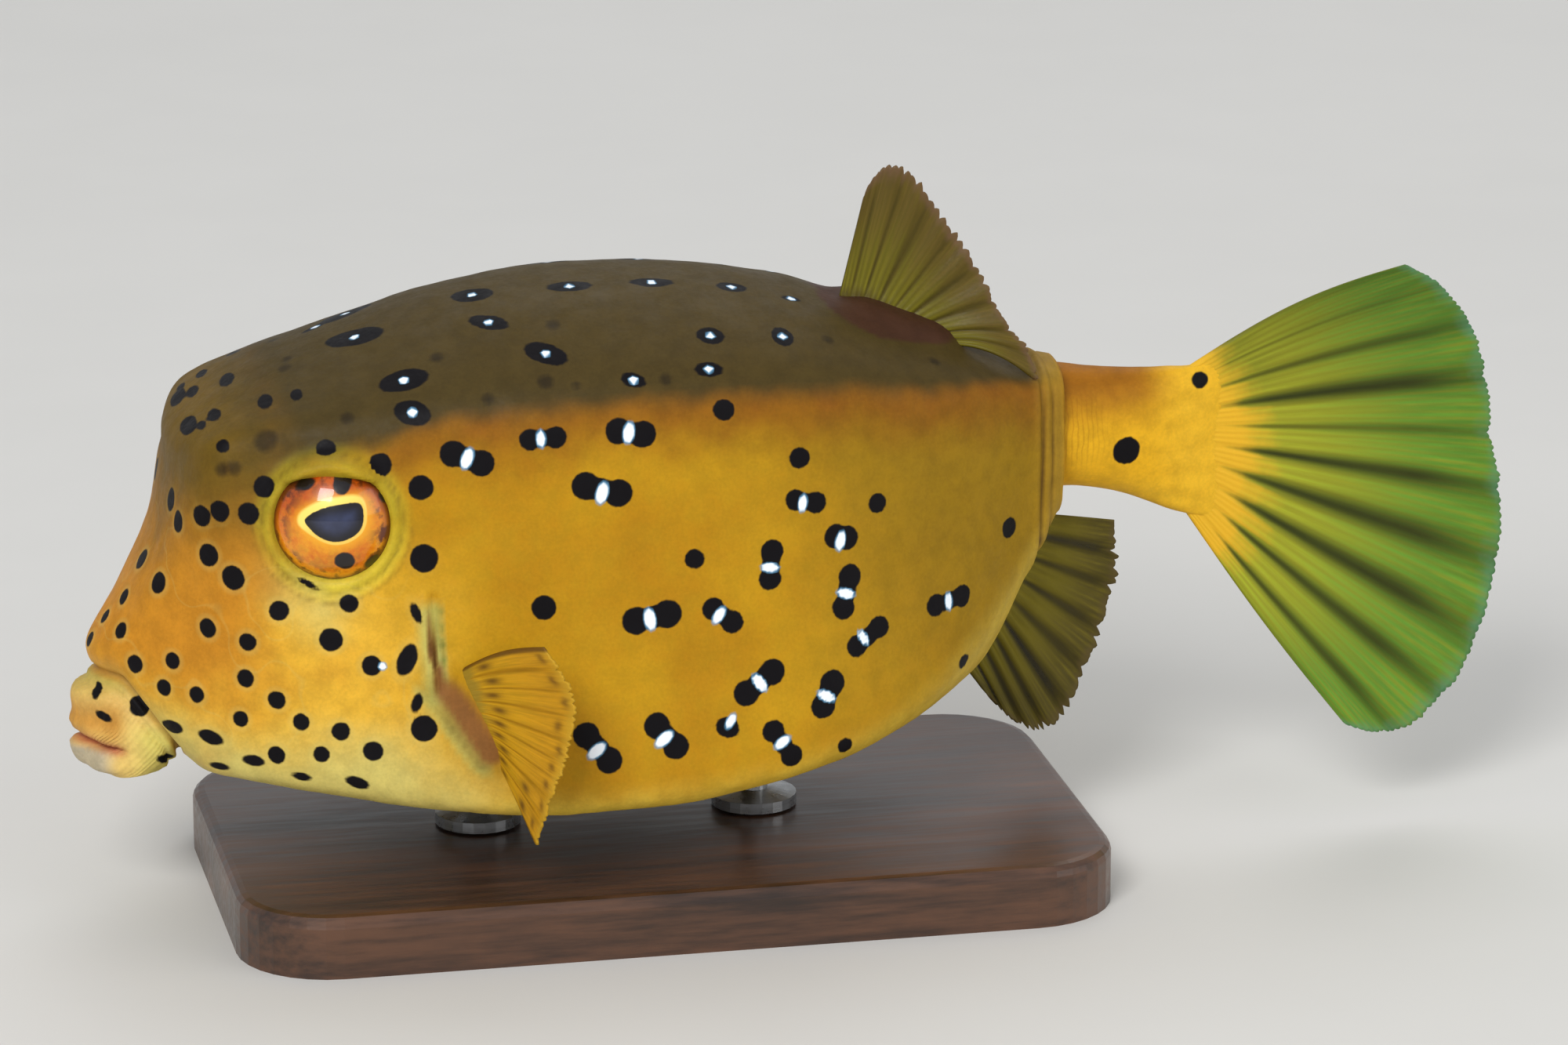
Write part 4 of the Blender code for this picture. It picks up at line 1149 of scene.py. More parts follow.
@dataclass
class Markings:
    """Places the marks on the skin and measures each point of it from them, in millimetres."""

    marks: Marks = field(default_factory=Marks)
    view: PhotoView = field(default_factory=PhotoView)
    far: float = 4.0
    scatter: float = 1.1
    seed: int = 17
    widest_patch: float = 2.2
    most_drawn: float = 2.2
    bar_length: float = 0.77
    bar_width: float = 0.41
    dot_size: float = 0.62
    middle_strip: float = 5.0
    belly_ends: Span = (-66.0, 12.0)
    belly_columns: int = 12
    belly_rows: tuple[float, ...] = (-14.0, 0.0, 14.0)
    belly_share: float = 0.45
    black: list[Mark] = field(default_factory=list)
    white: list[Mark] = field(default_factory=list)
    dim: list[Mark] = field(default_factory=list)

    def add(self, store: list[Mark], start: Vector, end: Vector, radius: float) -> None:
        """Keep a mark that reaches a radius past two places.

        Args:
            store: The list that keeps it.
            start: One place.
            end: The other.
            radius: The radius.
        """
        way = end - start
        along = way.normalized() if way.length > 1e-6 else Vector((1.0, 0.0, 0.0))
        store.append(Mark((start + end) * 0.5, along, way.length * 0.5 + radius, radius))

    def spot(self, store: list[Mark], tree: BVHTree, across: float, down: float, radius: float) -> None:
        """Keep a round mark, given in the photograph's pixels."""
        place = self.view.cast(tree, across, down)
        self.add(store, place, place, radius / self.view.pixels_per_mm)

    def slanted_spot(self, tree: BVHTree, spot: tuple) -> None:
        """Keep a mark that looks round where the skin turns away, and so is drawn out along the slope.

        Args:
            tree: The skin's surface.
            spot: Across, down and radius in pixels.
        """
        across, down, radius = spot
        place = self.view.cast(tree, across, down)
        normal = tree.find_nearest(place)[1]
        facing = normal.dot(self.view.backwards)
        slope = (self.view.backwards - normal * facing).normalized()
        size = radius / self.view.pixels_per_mm
        drawn = min(1.0 / max(facing, 0.1), self.most_drawn)
        self.black.append(Mark(place, slope, size * drawn, size))

    def barred_spot(self, tree: BVHTree, bar: tuple) -> None:
        """Keep a pair of black lobes with a short white bar across them.

        Args:
            tree: The skin's surface.
            bar: The bar's, the first and the second lobe's places and the lobes' radius, in pixels.
        """
        across, down, first_x, first_y, second_x, second_y, radius = bar
        middle = self.view.cast(tree, across, down)
        first = self.view.cast(tree, first_x, first_y)
        second = self.view.cast(tree, second_x, second_y)
        size = radius / self.view.pixels_per_mm
        self.add(self.black, first, first, size)
        self.add(self.black, second, second, size)
        way = (second - first).normalized()
        self.black.append(Mark((first + second) * 0.5, way, size * 1.3, size * 0.8))
        cross = way.cross(tree.find_nearest(middle)[1]).normalized()
        self.white.append(Mark(middle, cross, size * self.bar_length, size * self.bar_width))

    def back_dot(self, tree: BVHTree, dot: tuple) -> None:
        """Keep a white dot of the back in its oval black patch.

        Args:
            tree: The skin's surface.
            dot: The patch's place, length and height in pixels, and its tilt in degrees.
        """
        across, down, length, height, tilt = dot
        middle = self.view.cast(tree, across, down)
        turn = math.radians(tilt)
        step_x, step_y = 0.5 * length * math.cos(turn), 0.5 * length * math.sin(turn)
        ends = [self.view.cast(tree, across + sign * step_x, down - sign * step_y) for sign in (-1.0, 1.0)]
        sides = [self.view.cast(tree, across, down + sign * 0.5 * height) for sign in (-1.0, 1.0)]
        half_width = min(0.5 * (sides[1] - sides[0]).length, self.widest_patch)
        way = ends[1] - ends[0]
        self.black.append(Mark(middle, way.normalized(), 0.5 * way.length, half_width))
        self.add(self.white, middle, middle, self.dot_size)

    def mirror(self, tree: BVHTree) -> None:
        """Give the right side the same kinds of marks, each a little out of place.

        Args:
            tree: The skin's surface.
        """
        rng = np.random.default_rng(self.seed)
        for store in (self.black, self.white, self.dim):
            for mark in list(store):
                x, y, z = mark.centre
                if abs(y) < self.middle_strip:
                    continue
                # Marks that lie together get one seed, so that a pair and its bar move as one.
                key = np.random.default_rng(int(abs(x) * 0.4) * 31 + int(abs(z + 60) * 0.4))
                shift = key.uniform(-1.0, 1.0, 2) * self.scatter
                place = tree.find_nearest(Vector((x + shift[0], -y, z + shift[1])))[0]
                grown = rng.uniform(0.92, 1.08)
                along = Vector((mark.along[0], -mark.along[1], mark.along[2]))
                store.append(Mark(place, along, mark.half_length * grown, mark.half_width * grown))

    def belly(self, tree: BVHTree) -> None:
        """Scatter a few single spots over the underside.

        Args:
            tree: The skin's surface.
        """
        rng = np.random.default_rng(self.seed + 1)
        for x in np.linspace(*self.belly_ends, self.belly_columns):
            for y in self.belly_rows:
                if rng.random() < self.belly_share:
                    place = Vector((x + rng.uniform(-3.0, 3.0), y + rng.uniform(-4.0, 4.0), -60.0))
                    hit = tree.ray_cast(place, Vector((0.0, 0.0, 1.0)))[0]
                    if hit is not None:
                        self.add(self.black, hit, hit, rng.uniform(0.8, 1.3))

    def place(self, tree: BVHTree) -> None:
        """Place every mark on the skin.

        Args:
            tree: The skin's surface, in the fish's millimetres.
        """
        marks = self.marks
        for across, down, radius in marks.cheek + marks.flank + marks.stalk:
            self.spot(self.black, tree, across, down, radius)
        for first_x, first_y, second_x, second_y, radius in marks.streaks:
            ends = self.view.cast(tree, first_x, first_y), self.view.cast(tree, second_x, second_y)
            self.add(self.black, *ends, radius / self.view.pixels_per_mm)
        for across, down, radius in marks.faint:
            self.spot(self.dim, tree, across, down, radius)
        for across, down, radius in marks.stray_white:
            self.spot(self.white, tree, across, down, radius)
        for bar in marks.barred:
            self.barred_spot(tree, bar)
        for spot in marks.forehead:
            self.slanted_spot(tree, spot)
        for dot in marks.back_dots:
            self.back_dot(tree, dot)
        self.mirror(tree)
        self.belly(tree)

    def distance(self, store: list[Mark], points: np.ndarray) -> np.ndarray:
        """Measure each point from the edge of the nearest mark, less than 0 inside it.

        Args:
            store: The marks.
            points: The points, one row each.

        Returns:
            The distance, no larger than the far limit.
        """
        nearest = np.full(len(points), self.far)
        for mark in store:
            reach = self.far + mark.half_length
            near = np.flatnonzero(np.abs(points - np.array(mark.centre)).max(axis=1) < reach)
            if len(near):
                nearest[near] = np.minimum(nearest[near], mark.distance(points[near]))
        return nearest


@dataclass(frozen=True)
class Fold:
    """A soft hump on some measure, or a crease where its height is below 0."""

    place: float
    height: float
    width: float


def folded(measure: np.ndarray, folds: tuple[Fold, ...]) -> np.ndarray:
    """Add up the heights of several folds at each point's measure."""
    return np.sum([fold.height * bump(measure, fold.place, fold.width) for fold in folds], axis=0)


@dataclass(frozen=True)
class Pad:
    """The fleshy root of a fin, along a line of points beside the body."""

    root: tuple
    height: float
    radius: float

    def reach(self, points: np.ndarray) -> np.ndarray:
        """Measure points, their y made positive, from the root's line."""
        runs = [to_segment(points, start, end) for start, end in zip(self.root, self.root[1:])]
        return np.minimum.reduce(runs)


@dataclass
class Skin:
    """One skin from the lips to the tail fin's root, with lids, mouth, nostrils and gills modelled in it."""

    form: BodyForm = field(default_factory=BodyForm)
    eyes: EyeForm = field(default_factory=EyeForm)
    mouth_z: float = -18.2
    mouth_depth: float = 2.3
    hood: float = 1.9
    chin_drop: float = 1.35
    nostril: Triple = (-73.2, 17.2, 20.0)
    pores: tuple[Span, ...] = ((-0.7, 0.2), (0.7, 0.16))
    gill_top: Triple = (-49.2, 25.0, 2.2)
    gill_bottom: Triple = (-49.5, 26.0, -5.4)
    gill_slant: float = 0.036
    beads_turn: float = 3.1
    pectoral: Pad = Pad(((-49.0, 25.6, -5.8), (-46.8, 26.9, -9.0), (-43.0, 28.4, -15.0)), 1.2, 2.5)
    dorsal: Pad = Pad(((11.0, 3.0, 30.4), (14.0, 3.5, 29.4), (17.5, 3.5, 27.6)), 1.5, 4.2)
    anal: Pad = Pad(((28.8, 0.0, -4.4), (26.2, 0.0, -10.6), (22.6, 0.0, -15.8)), 0.6, 2.0)
    lid_folds: tuple[Fold, ...] = (Fold(0.65, 0.6, 0.55), Fold(1.5, -0.26, 0.3), Fold(2.2, 0.16, 0.5))
    lip_folds: tuple[Fold, ...] = (Fold(1.7, 0.75, 1.15), Fold(-1.35, 0.6, 0.8))
    rim_folds: tuple[Fold, ...] = (Fold(0.0, -0.5, 0.5), Fold(-0.95, 0.22, 0.5), Fold(-1.9, -0.42, 0.42))
    gill_folds: tuple[Fold, ...] = (Fold(-1.3, 0.6, 0.8), Fold(0.1, -1.2, 0.36))
    gill_beads: Fold = Fold(1.15, 0.34, 0.5)
    rear_folds: tuple[Fold, ...] = (Fold(30.9, 0.22, 0.4), Fold(31.7, -0.4, 0.26), Fold(32.5, 0.22, 0.4),
                                    Fold(33.3, -0.22, 0.24))
    # Where dark lines of painted shade lie, in the creases of the rear folds.
    rear_lines: tuple[Fold, ...] = (Fold(31.7, 0.85, 0.2), Fold(33.3, 0.6, 0.18))
    points: np.ndarray = field(default_factory=lambda: np.zeros((0, 0, 3)))
    from_rim: np.ndarray = field(default_factory=lambda: np.zeros((0, 0)))
    above_upper: np.ndarray = field(default_factory=lambda: np.zeros((0, 0)))
    above_lower: np.ndarray = field(default_factory=lambda: np.zeros((0, 0)))

    def lay_out(self) -> None:
        """Lay the rings out from the tip of the lips to the end of the stalk."""
        form = self.form
        muzzle, reach = form.muzzle()
        places = form.ring_places()
        carapace, upper, lower = (np.array(part) for part in zip(*(form.section(t) for t in places)))
        stalk = form.stalk()
        rim, start = carapace[-1], stalk[0]
        fold = []
        for out, share in form.rim_fold:
            ring = rim * (1.0 - share) + start * share
            ring[:, 0] = rim[:, 0] + out
            fold.append(ring)
        tail = np.concatenate((np.array(fold), stalk))
        self.points = np.concatenate((muzzle, carapace, tail))
        counts = [len(muzzle) + 1] + [1] * (len(carapace) - 2) + [len(tail) + 1]
        self.above_upper, self.above_lower = (np.repeat(part, counts, axis=0) for part in (upper, lower))
        along = np.concatenate((-reach, places * STATION_RUN, np.full(len(tail), TAIL_RUN)))
        self.from_rim = np.repeat(along[:, None], self.points.shape[1], axis=1)

    def normals(self) -> np.ndarray:
        """Give the outward normal at each point.

        Returns:
            The normals, each of length 1.
        """
        lengthwise = np.gradient(self.points, axis=0)
        round_body = np.roll(self.points, -1, axis=1) - np.roll(self.points, 1, axis=1)
        normal = np.cross(lengthwise, round_body)
        return normal / np.maximum(np.linalg.norm(normal, axis=2, keepdims=True), 1e-9)

    def beside(self) -> np.ndarray:
        """Give the points with their y made positive, so that both sides are measured alike."""
        return np.abs(self.points * (0.0, 1.0, 0.0)) + self.points * (1.0, 0.0, 1.0)

    def from_gill(self) -> np.ndarray:
        """Measure how far the points are from the gill slit of their side."""
        return to_segment(self.beside(), np.array(self.gill_top), np.array(self.gill_bottom))

    def behind_gill(self) -> np.ndarray:
        """Measure how far the points are behind the gill slit's line."""
        x, z = self.points[..., 0], self.points[..., 2]
        return x - self.gill_top[0] - (self.gill_top[2] - z) * self.gill_slant

    def shape_eyes(self) -> None:
        """Sink the skin under each eye and raise the soft lids round it."""
        for side in (LEFT, RIGHT):
            reach, out = self.eyes.reach(self.points, side)
            near = (out > -6.0) & (reach < 12.0)
            from_lid = reach - self.eyes.lid_radius
            target = 1.7 + 0.35 * np.clip(out, 0.0, 4.0) * smoothstep(-0.6, 0.4, from_lid)
            target += self.hood * smoothstep(4.9, 6.5, self.points[..., 2] - self.eyes.centre[2])
            move = smoothstep(2.4, 0.2, from_lid) * (target - out) + folded(from_lid, self.lid_folds)
            self.points += np.where(near, move, 0.0)[..., None] * self.eyes.axis(side)

    def mouth_line(self, x: np.ndarray) -> np.ndarray:
        """Give the height of the mouth, which drops towards its corners."""
        return self.mouth_z - 0.22 * np.clip(x + 91.0, 0.0, 6.0)

    def shape_mouth(self) -> None:
        """Open the line of the mouth and round the lips above and below it."""
        x, z = self.points[..., 0].copy(), self.points[..., 2]
        off_rim = smoothstep(-1.0, -3.0, self.from_rim)
        full = smoothstep(-16.6, -12.4, z) + smoothstep(-16.8, -19.0, z) * smoothstep(-22.4, -20.8, z)
        self.points[..., 0] -= 1.3 * full * off_rim * smoothstep(-84.4, -87.0, x)
        front = smoothstep(-84.6, -87.6, x)
        above = z - self.mouth_line(x)
        slit = self.mouth_depth * np.exp(-np.abs(above / 0.42) ** 2.4) * front
        corner = bump(x, -86.2, 1.2) * bump(above, 0.0, 1.6)
        chin = smoothstep(-0.5, -2.0, above) * smoothstep(-82.5, -88.0, x) * off_rim
        self.points += self.normals() * ((folded(above, self.lip_folds) * front - 0.5 * corner)[..., None])
        self.points[..., 0] += slit
        self.points[..., 2] -= self.chin_drop * chin

    def rim_move(self) -> np.ndarray:
        """Give the crease round the lips' rim and the fine wrinkles in front of it.

        Returns:
            How far each point moves outwards.
        """
        run = self.from_rim
        angle = np.linspace(0.0, 2.0 * math.pi, self.points.shape[1], endpoint=False)
        wrinkles = np.sin(46.0 * angle + 3.0 * np.sin(5.0 * angle))[None, :]
        wrinkled = smoothstep(-0.8, -2.4, run) * smoothstep(-8.5, -6.5, run)
        return folded(run, self.rim_folds) + 0.03 * wrinkled * wrinkles

    def nostril_move(self) -> np.ndarray:
        """Give the two pores of each nostril, in their low raised rim.

        Returns:
            How far each point moves outwards.
        """
        move = np.zeros(self.points.shape[:2])
        for shift, depth in self.pores:
            pore = np.linalg.norm(self.beside() - np.array(self.nostril) - (shift, 0.0, 0.0), axis=-1)
            move += 0.16 * np.exp(-(pore ** 4)) - (depth + 0.16) * bump(pore, 0.0, 0.5)
        return move

    def gill_move(self) -> np.ndarray:
        """Give the gill slit, with its soft front lip and the beaded edge behind it.

        Returns:
            How far each point moves outwards.
        """
        behind = self.behind_gill()
        beads = 1.0 + 0.5 * np.sin(self.points[..., 2] * self.beads_turn)
        move = folded(behind, self.gill_folds) + beads * folded(behind, (self.gill_beads,))
        return smoothstep(3.2, 1.6, self.from_gill()) * move

    def stalk_move(self) -> np.ndarray:
        """Give the shell's folds before the stalk, and the grooves between the tail rays' feet on it.

        Returns:
            How far each point moves outwards.
        """
        x, z = self.points[..., 0], self.points[..., 2]
        grooves = 0.08 * np.sin((z - 11.2) * 2.1 * (1.0 - 0.03 * (x - 50.0)))
        grooves *= smoothstep(46.0, 51.0, x) * smoothstep(57.0, 53.0, x)
        return np.where(self.from_rim < TAIL_RUN, folded(x, self.rear_folds), grooves)

    def shape_folds(self) -> None:
        """Press in the creases and raise the soft places, along the surface's normal."""
        move = self.rim_move() + self.nostril_move() + self.gill_move() + self.stalk_move()
        for pad in (self.pectoral, self.dorsal, self.anal):
            move += pad.height * np.exp(-((pad.reach(self.beside()) / pad.radius) ** 3))
        move += 0.16 * rough(self.points, 7.0, 3.0) + 0.05 * rough(self.points, 2.0, 8.0)
        self.points = self.points + self.normals() * move[..., None]

    def build(self, material: bpy.types.Material, markings: Markings) -> bpy.types.Object:
        """Make the skin.

        Args:
            material: What it is dressed in.
            markings: The marks to place on it.

        Returns:
            The skin's object.
        """
        self.lay_out()
        self.shape_folds()
        self.shape_mouth()
        self.shape_eyes()
        rings, columns = self.points.shape[:2]
        flat = self.points.reshape(-1, 3)
        index = np.arange(rings * columns).reshape(rings, columns)
        after = np.roll(index, -1, axis=1)
        quads = np.stack((index[:-1], index[1:], after[1:], after[:-1]), axis=-1).reshape(-1, 4)
        faces = [tuple(face) for face in quads.tolist()]
        first_hub, last_hub = len(flat), len(flat) + 1
        flat = np.concatenate((flat, self.points[:1].mean(axis=1), self.points[-1:].mean(axis=1)))
        faces += [(int(index[0, j]), int(after[0, j]), first_hub) for j in range(columns)]
        faces += [(int(after[-1, j]), int(index[-1, j]), last_hub) for j in range(columns)]

        tree = BVHTree.FromPolygons([Vector(point) for point in flat], faces)
        markings.place(tree)
        masks = {name: np.append(values.ravel(), (values[0, 0], values[-1, 0]))
                 for name, values in Zones(self).build().items()}
        masks["spot"] = markings.distance(markings.black, flat)
        masks["fleck"] = markings.distance(markings.white, flat)
        masks["faint"] = markings.distance(markings.dim, flat)
        piece = Mesh("skin", flat, faces, masks).build(material)
        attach(piece, BODY)
        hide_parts("head", "lip_upper", "lip_lower", "carapace", "tail_stalk")
        return piece


class Border:
    """Where a region of colour ends: its mask is 0 at start and 1 at end, on a sum of the skin's measures."""

    def __init__(self, start: float, end: float, **weights: float) -> None:
        """Keep both ends, and the weight of each measure by name."""
        self.start, self.end, self.weights = start, end, weights

    def mask(self, measures: dict[str, np.ndarray]) -> np.ndarray:
        """Give the mask at every point."""
        total = sum(weight * measures[name] for name, weight in self.weights.items())
        return smoothstep(self.start, self.end, total)


@dataclass(frozen=True)
class Region:
    """A region of colour: the part of the skin that holds it, its strength there and its borders."""

    name: str
    part: str
    strength: float
    borders: tuple[Border, ...] = ()


REGIONS = (
    # Partly painted shade towards the rear and the top of the body, partly the skin's own darker tone.
    Region("rear", "body", 0.9, (Border(-16.0, 24.0, x=1, z=0.5, broad=7),)),
    Region("belly", "belly_part", 1.0, (Border(5.0, -2.0, lower=1),)),
    Region("cheek", "shell", 1.0, (Border(-42.0, -60.0, x=1, z=0.25, uneven=4),
                                   Border(8.8, -3.2, x=0.12, z=1, uneven=3))),
    Region("jaw", "cheek", 0.95, (Border(-9.0, -19.0, z=1, uneven=2),)),
    Region("jaw", "under_eye", 0.6, (Border(0.0, -6.0, over_eye=1), Border(-56.0, -64.0, x=1))),
    Region("snout", "body", 1.0, (Border(-64.0, -76.0, x=1, z=-0.3, uneven=2.5),
                                  Border(-15.0, -4.0, z=1, uneven=2))),
    Region("forehead", "body", 0.95, (Border(-60.0, -70.0, x=1),
                                      Border(27.3, 46.3, x=-0.35, z=1, uneven=2))),
    Region("back", "shell", 1.0, (Border(-2.6, 1.2, upper=1), Border(-69.0, -56.0, x=1, z=0.3))),
    Region("back", "tail", 0.7, (Border(20.3, 22.3, z=1), Border(56.0, 40.0, x=1))),
    # Partly painted shade on the upper flank below the ridge, partly the skin's own orange-brown.
    Region("back_edge", "body", 0.85, (Border(-11.0, -1.5, upper=1), Border(-66.0, -50.0, x=1))),
    Region("stalk", "tail", 1.0),
    Region("stalk_top", "tail", 1.0, (Border(13.0, 20.5, z=1, uneven=0.6), Border(58.0, 44.0, x=1))),
    Region("lined", "tail", 0.3, (Border(44.0, 37.0, x=1), Border(8.0, 13.0, z=1))),
    Region("stalk_root", "tail", 0.8, (Border(9.0, 4.0, z=1),)),
    Region("stalk_root", "tail", 0.8, (Border(46.0, 53.0, x=1),)),
    Region("rim", "body", 0.75, (Border(29.5, 33.0, x=1),)),
    Region("rim", "tail", 0.75, (Border(35.8, 34.8, x=1),)),
    Region("lip", "muzzle", 1.0),
    Region("lip", "body", 0.5, (Border(3.4, 0.4, run=1),)),
    Region("lip_rear", "muzzle", 0.8, (Border(-87.0, -81.5, x=1), Border(-14.0, -17.5, z=1))),
    Region("lip_top", "muzzle", 0.85, (Border(-13.5, -10.0, z=1, uneven=1),)),
    Region("lip_front", "lip_middle", 0.8, (Border(-84.6, -87.0, x=1),)),
    Region("chin", "muzzle", 0.85, (Border(-19.0, -19.8, z=1), Border(-86.0, -88.6, x=1))),
    Region("mouth", "mouth_line", 1.0, (Border(-84.6, -86.6, x=1),)),
    Region("lid", "lids", 0.6, (Border(15.0, 4.0, over_eye=1),)),
    Region("lid_low", "lids", 0.4, (Border(1.0, -6.0, over_eye=1), Border(-68.0, -60.0, x=1))),
    Region("gill", "gill_height", 0.85, (Border(-2.9, -1.0, behind_gill=1),
                                         Border(1.5, 0.4, behind_gill=1))),
    # A paler olive band below the pectoral pad: partly its own colour, partly painted highlight on the fold
    # there.
    Region("gill", "below_pad", 0.65, (Border(3.8, 3.0, pectoral=1),)),
    Region("gill_edge", "gill_beads", 1.0, (Border(-7.0, -5.0, z=1),)),
    Region("flesh", "skin", 1.0, (Border(2.3, 1.1, pectoral=1, uneven=0.3),)),
    Region("flesh", "skin", 1.0, (Border(1.0, 0.5, gill=1),)),
    Region("fin_foot", "body", 1.0, (Border(8.3, 7.7, dorsal=1, uneven=0.3),)),
    # Painted shade in the creases round the lids.
    Region("crease", "lid_lines", 1.0),
    # Painted shade in the groove round the lips' rim.
    Region("crease", "rim_line", 0.55, (Border(-0.9, -0.2, run=1),)),
    # Painted shade in the creases of the shell's rear rim.
    Region("crease", "rear_lines", 1.0, (Border(22.5, 19.0, z=1),)),
    # Painted shade in the nostril pits.
    Region("crease", "skin", 0.3, (Border(1.0, 0.5, pore=1),)),
    # Painted shade in the gill slit.
    Region("crease", "skin", 0.9, (Border(0.75, 0.35, gill=1, uneven=0.1),)),
    # Painted shadow under the pectoral pad.
    Region("crease", "pad_crease", 0.45, (Border(-8.0, -11.0, z=1),)),
)


@dataclass
class Zones:
    """Works out the mask of each region of colour, from the skin's measures and the parts that hold them."""

    skin: Skin
    measures: dict[str, np.ndarray] = field(default_factory=dict)
    parts: dict[str, np.ndarray] = field(default_factory=dict)

    def measure(self) -> None:
        """Measure every point of the skin by place, by noise and from its features."""
        skin, m = self.skin, self.measures
        m["x"], m["z"] = skin.points[..., 0], skin.points[..., 2]
        m["run"], m["lower"] = skin.from_rim, skin.above_lower
        m["uneven"] = rough(skin.points, 9.0, 21.0)
        m["broad"] = rough(skin.points, 22.0, 5.0)
        lift = 4.0 * smoothstep(-44.0, -66.0, m["x"]) - 1.5 * smoothstep(5.0, 30.0, m["x"])
        m["upper"] = skin.above_upper + lift + 1.3 * m["uneven"] + 0.8 * rough(skin.points, 3.5, 40.0)
        m["over_eye"] = m["z"] - skin.eyes.centre[2]
        m["gill"] = skin.from_gill()
        m["behind_gill"] = skin.behind_gill()
        m["pectoral"] = skin.pectoral.reach(skin.beside())
        m["dorsal"] = skin.dorsal.reach(skin.beside()) + 0.4 * np.clip(m["x"] - 10.0, 0.0, 20.0)
        m["pore"] = np.linalg.norm((skin.beside() - np.array(skin.nostril)) / (1.3, 1.0, 1.0), axis=-1)

    def part(self) -> None:
        """Give the parts of the skin that hold regions."""
        skin, m, parts = self.skin, self.measures, self.parts
        parts["skin"] = np.ones_like(m["x"])
        parts["body"] = (m["run"] < TAIL_RUN).astype(float)
        parts["tail"] = 1.0 - parts["body"]
        parts["belly_part"] = parts["body"] * (0.7 + 0.3 * smoothstep(0.0, -50.0, m["x"]))
        parts["shell"] = smoothstep(-1.2, 0.2, m["run"]) * parts["body"]
        parts["muzzle"] = smoothstep(0.1, -0.9, m["run"])
        parts["lip_middle"] = parts["muzzle"] * bump(m["z"], -15.6, 2.6)
        parts["mouth_line"] = parts["muzzle"] * bump(m["z"], skin.mouth_line(m["x"]), 0.75)
        parts["gill_height"] = smoothstep(-12.0, -8.0, m["z"]) * smoothstep(4.2, 2.4, m["z"])
        beads = 0.55 + 0.35 * np.sin(m["z"] * skin.beads_turn)
        parts["gill_beads"] = parts["gill_height"] * bump(m["behind_gill"], 0.75, 0.3) * beads
        root = np.array(skin.pectoral.root)
        past_pad = m["x"] - np.interp(-m["z"], -root[:, 2], root[:, 0])
        parts["below_pad"] = smoothstep(0.3, -0.3, past_pad) * smoothstep(-5.5, -8.0, m["z"])
        # Painted shadow along the lower half of the pectoral pad's lower edge.
        parts["pad_crease"] = parts["below_pad"] * bump(m["pectoral"], 2.2, 0.5)
        # Painted shade in the groove round the lips' rim, with a mild brown tint of its own.
        parts["rim_line"] = bump(m["run"], -0.05, 0.3)
        parts["rear_lines"] = folded(m["x"], skin.rear_lines) * parts["body"]

    def part_lids(self) -> None:
        """Give the lids, the fine dark lines of painted shade round them and the cheek under the eyes as
        parts.
        """
        skin, m = self.skin, self.measures
        lids, lines, cheek = (np.zeros_like(m["x"]) for _ in range(3))
        for side in (LEFT, RIGHT):
            reach, out = skin.eyes.reach(skin.points, side)
            near = out > -5.0
            from_lid = reach - skin.eyes.lid_radius
            low = smoothstep(3.0, -2.0, m["over_eye"])
            # Two fine dark lines of painted shade round each lid, in its creases.
            rings = 0.4 * bump(from_lid, 1.5, 0.2) + 0.3 * bump(from_lid, 2.7, 0.2) * low
            lids = np.maximum(lids, smoothstep(10.4, 8.2, reach) * near)
            lines = np.maximum(lines, rings * near)
            cheek = np.maximum(cheek, smoothstep(17.0, 10.0, reach + 2.0 * m["uneven"]) * near)
        self.parts.update(lids=lids, lid_lines=lines, under_eye=cheek)

    def build(self) -> dict[str, np.ndarray]:
        """Work all the masks out; rows with one name are joined, and a row may lie within an earlier one.

        Returns:
            The masks by name.
        """
        self.measure()
        self.part()
        self.part_lids()
        masks: dict[str, np.ndarray] = {}
        for region in REGIONS:
            mask = region.strength * {**self.parts, **masks}[region.part]
            for border in region.borders:
                mask = mask * border.mask(self.measures)
            masks[region.name] = np.maximum(masks.get(region.name, 0.0), mask)
        return masks


